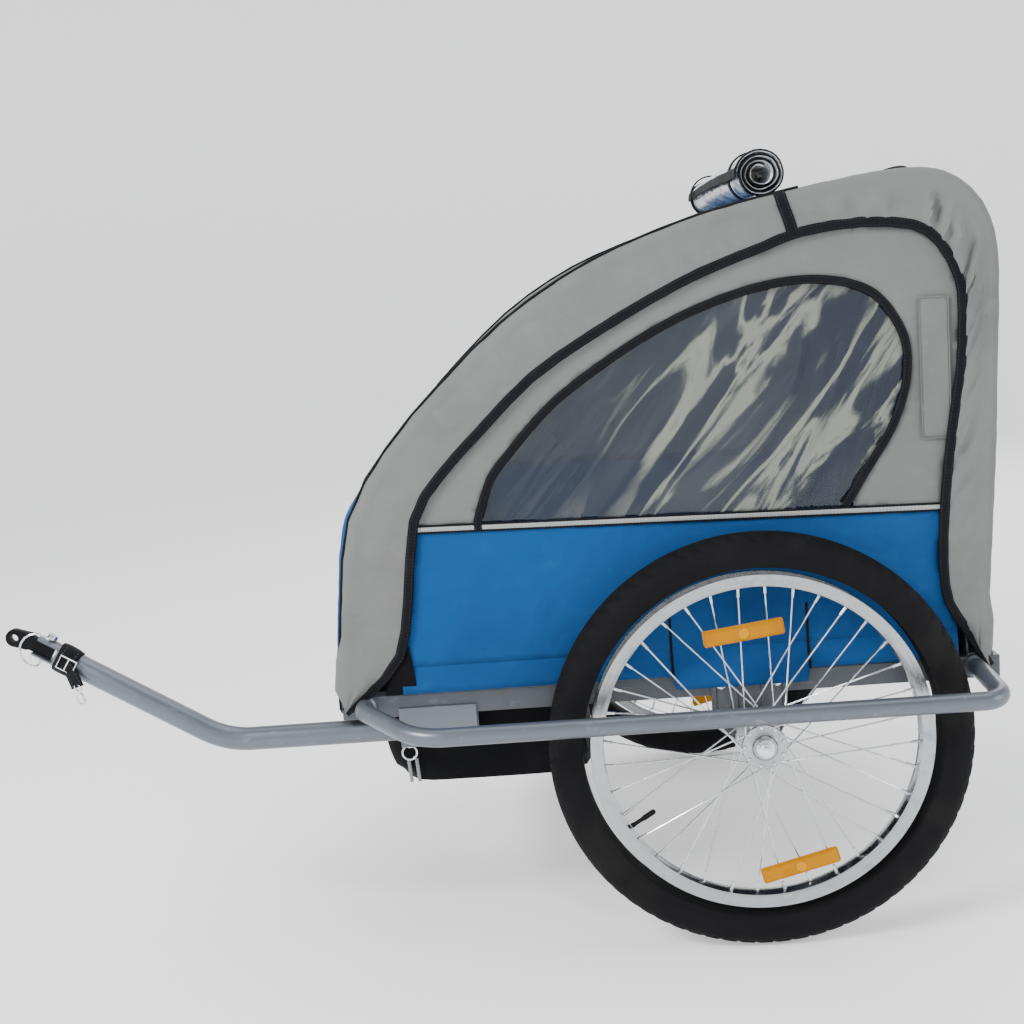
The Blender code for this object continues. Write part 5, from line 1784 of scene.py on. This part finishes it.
def along_arm(distance, lift=0.0, out=0.0):
    """A point measured from the hitch pin along the arm, square to it, and out to the trailer's left."""
    c, s = math.cos(ARM_TILT), math.sin(ARM_TILT)
    return Vector((HITCH_PIN.x + distance * c - lift * s, ARM_Y - out, HITCH_PIN.z + distance * s + lift * c))


def make_arm(finishes):
    corners = [along_arm(-0.014), (ARM_BEND_X, ARM_Y, ARM_Z), (ARM_HIGH.x, ARM_Y, ARM_Z)]
    path = rounded(corners, (ARM_BEND_RADIUS,), 30)
    arm = tube("tow_arm_tube", path, ARM_RADIUS, finishes["silver"], 40)
    slot = block("fork_slot", (-0.030, -0.03, -0.009), (0.014, 0.03, 0.009), finishes["silver"], 0.002, 2)
    turn = Matrix.Rotation(-ARM_TILT, 4, "Y")
    slot.matrix_world = Matrix.Translation((HITCH_PIN.x, ARM_Y, HITCH_PIN.z)) @ turn
    bpy.context.view_layer.update()
    cut = arm.modifiers.new("fork", "BOOLEAN")
    cut.object = slot
    cut.operation = "DIFFERENCE"
    apply_modifiers(arm)
    bpy.data.objects.remove(slot)
    soften(arm, 0.0008, 2)
    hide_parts("tow_arm")
    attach(arm, "tow_arm")


def make_tongue(finishes):
    """The moulded tongue keeps its outline, with a rubber eyelet in its eye."""
    node = frame["nodes"]["hitch_tongue"]
    node.data.materials[0] = finishes["rubber"]
    soften(node, 0.0012, 3)
    low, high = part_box("hitch_tongue")
    eye = Vector((low.x + 0.011, ARM_Y, 0.428))
    half = (high.y - low.y) / 2
    profile = [(-half - 0.0008, 0.0052), (-half - 0.0008, 0.0072), (-half + 0.0004, 0.0078)]
    ring = profile + [(-a, r) for a, r in reversed(profile)]
    made = lathe("tongue_eyelet", ring, eye, finishes["rubber"], 40)
    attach(made, "hitch")


def make_pin_and_bail(finishes):
    top = ARM_RADIUS + 0.0005
    profile = [
        (-0.0207, 0.0),
        (-0.0205, 0.0022),
        (-0.0198, SHANK_RADIUS),
        (top, SHANK_RADIUS),
        (top, 0.0060),
        (top + 0.0006, 0.0065),
        (top + 0.0042, 0.0065),
        (top + 0.0058, 0.0050),
        (top + 0.0060, 0.0),
    ]
    path, radii = [along_arm(0, a) for a, _ in profile], [max(r, 0.0002) for _, r in profile]
    pin = tube("hitch_pin_turned", path, radii, finishes["chrome"], 28)
    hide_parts("hitch_pin")
    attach(pin, "hitch")
    high, low = along_arm(0, top + 0.003), along_arm(0, -0.019)
    middle, reach = (high + low) / 2, (high - low).length / 2
    start = math.atan2(high.z - middle.z, high.x - middle.x)
    loop = []
    for k in range(13):
        angle = start + math.pi * k / 12
        out = reach * (1 + 0.55 * math.sin(math.pi * k / 12))
        loop.append(middle + Vector((out * math.cos(angle), -0.0168, out * math.sin(angle))))
    ends = [Vector((high.x, ARM_Y - 0.0070, high.z)), Vector((low.x, ARM_Y - 0.0058, low.z))]
    path = rounded([ends[0], loop[0], *loop[1:-1], loop[-1], ends[1]], [0.003] + [0.002] * 11 + [0.003], 4)
    bail = tube("bail_wire", path, 0.0014, finishes["chrome"], 14)
    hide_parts("hitch_bail")
    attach(bail, "hitch_bail")


def make_strap(finishes):
    """The safety strap: webbing wound round the arm, with a buckle and a snap hook that hangs on it."""
    centre = along_arm(0.030)
    axis = (along_arm(1) - along_arm(0)).normalized()
    side = Vector((0, -1, 0))
    up = side.cross(axis).normalized()
    turns = []
    for k in range(141):
        angle = TAU * 2.2 * k / 140
        way = side * math.cos(angle) + up * math.sin(angle)
        radius = ARM_RADIUS + 0.0010 + 0.0018 * k / 140
        turns.append((centre + axis * (-0.001 + 0.0025 * math.sin(angle * 0.5)) + way * radius, way))
    wound = ribbon(
        "strap_winding",
        [p for p, _ in turns],
        [w for _, w in turns],
        0.024,
        finishes["webbing_black"],
        0.0014,
    )
    down = Vector((0, 0, -1))
    hang_from = centre + side * (ARM_RADIUS + 0.0036) + up * 0.002
    bend = hang_from + axis * 0.008 + down * 0.010 + side * 0.001
    tail_path = smooth_path([hang_from, bend, hang_from + axis * 0.014 + down * 0.024], 24)
    tail = ribbon("strap_tail", tail_path, [side] * 24, 0.016, finishes["webbing_black"], 0.0016)
    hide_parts("safety_strap")
    pieces = [(wound, "black_fabric"), (tail, "black_fabric")]
    spot = hang_from + axis * 0.002 + down * 0.001 + side * 0.0016
    buckle = []
    for a, b in ((-0.0115, -0.008), (0.0115, -0.008), (0.0115, 0.008), (-0.0115, 0.008)):
        buckle.append(spot + axis * a * 0.9 + up * b)
    frame_wire = tube("strap_buckle", buckle, WIRE, finishes["chrome"], 10, closed=True)
    bar = tube("strap_buckle_bar", [spot - up * 0.008, spot + up * 0.008], 0.0011, finishes["chrome"], 10)
    pieces += [(frame_wire, "chrome"), (bar, "chrome")]
    knuckle = hang_from + axis * 0.0145 + down * 0.0245 + side * 0.001
    eye = [knuckle + (axis * math.cos(a) + down * math.sin(a)) * 0.0046 for a in spread(20)]
    ring = tube("snap_eye", eye, WIRE, finishes["chrome"], 10, closed=True)
    hook = []
    for k in range(17):
        angle = math.radians(-90 + 290 * k / 16)
        hook.append(
            knuckle + axis * (0.002 + 0.0058 * math.cos(angle)) + down * (0.0128 + 0.0070 * math.sin(angle))
        )
    snap = tube("snap_hook", hook, 0.0014, finishes["chrome"], 10)
    pieces += [(ring, "chrome"), (snap, "chrome")]
    for piece, finish in pieces:
        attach(piece, "tow_arm")


def make_lock_pin(finishes):
    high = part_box("lock_pin")[1]
    x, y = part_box("tow_receiver")[0].x + 0.009, ARM_Y
    under = ARM_Z - (ARM_RADIUS + 0.0005 + 0.003) - 0.0003
    stops = [
        (under - 0.006, 0.0055),
        (under - 0.0055, 0.0065),
        (under - 0.0006, 0.0065),
        (under, 0.0058),
        (under, 0.004),
        (high.z - 0.001, 0.004),
        (high.z, 0.003),
    ]
    pin = tube(
        "lock_pin_shank", [Vector((x, y, z)) for z, _ in stops], [r for _, r in stops], finishes["chrome"], 28
    )
    centre = Vector((x - 0.002, y, under - 0.0135))
    loop = [centre + Vector((0.009 * math.cos(a), 0, 0.009 * math.sin(a))) for a in spread(40)]
    ring = tube("lock_pin_ring", loop, WIRE, finishes["chrome"], 12, closed=True)
    made = joined("lock_pin_with_ring", [pin, ring])
    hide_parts("lock_pin")
    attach(made, "lock_pin")


# Brackets and the frame's own nodes
BOLTS = ((-0.040, -0.012), (0.028, -0.012))  # from the axle's middle and the bracket's top


def make_bracket_fittings(finishes):
    for side, sign in SIDES:
        centre = WHEEL_CENTRES[side]
        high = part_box(f"{side}_axle_bracket")[1]
        face = RAIL_OUTER + 0.0053
        for k, (dx, dz) in enumerate(BOLTS):
            foot = Vector((centre.x + dx, sign * face, high.z + dz))
            profile = [(0.0, 0.0), (0.0, 0.0062), (0.0028, 0.0055), (0.0040, 0.0030), (0.0042, 0.0)]
            turned = [(sign * a, max(r, 0.0001)) for a, r in profile]
            name = f"{side}_bracket_bolt_{k + 1}"
            made = lathe(name, turned, foot, finishes["chrome"], 24, closed=False)
            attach(made, "chassis")


KEPT = {
    "silver": ["tow_receiver", "left_hoop", "right_hoop", "left_roof_bar", "right_roof_bar"],
    # Frame parts in the grey powder coat, whose colour is darkened to a painted shade.
    "grey_paint_with_painted_shade": [
        "axle_beam",
        "front_cross_tube",
        "rear_cross_tube",
        *[
            f"{s}_{n}"
            for s in ("left", "right")
            for n in ("side_rail", "axle_bracket", "front_hinge", "rear_hinge")
        ],
    ],
    "chrome": [f"{s}_{n}" for s in ("left", "right") for n in ("axle", "inner_bearing", "outer_bearing")],
}
EDGE_WIDTHS = {
    "tow_receiver": 0.0015, "axle_beam": 0.0025, "front_cross_tube": 0.0020, "rear_cross_tube": 0.0020
}


def finish_kept_nodes(finishes):
    for key, names in KEPT.items():
        for name in names:
            node = frame["nodes"][name]
            node.data.materials.clear()
            node.data.materials.append(finishes[key])
            if key != "chrome":
                soften(node, EDGE_WIDTHS.get(name, 0.0012), 2)


def main():
    set_camera()
    finishes = make_finishes()
    set_stage()
    for side, sign in SIDES:
        make_side(side, sign, finishes)
        make_wheel(side, sign, finishes)
        make_guard(side, sign, finishes)
        make_harness(side, sign, finishes)
    make_covers(finishes)
    make_roll(finishes)
    make_seat(finishes)
    make_footwell(finishes)
    make_floor_cover(finishes)
    make_arm(finishes)
    make_tongue(finishes)
    make_pin_and_bail(finishes)
    make_strap(finishes)
    make_lock_pin(finishes)
    make_bracket_fittings(finishes)
    finish_kept_nodes(finishes)


main()
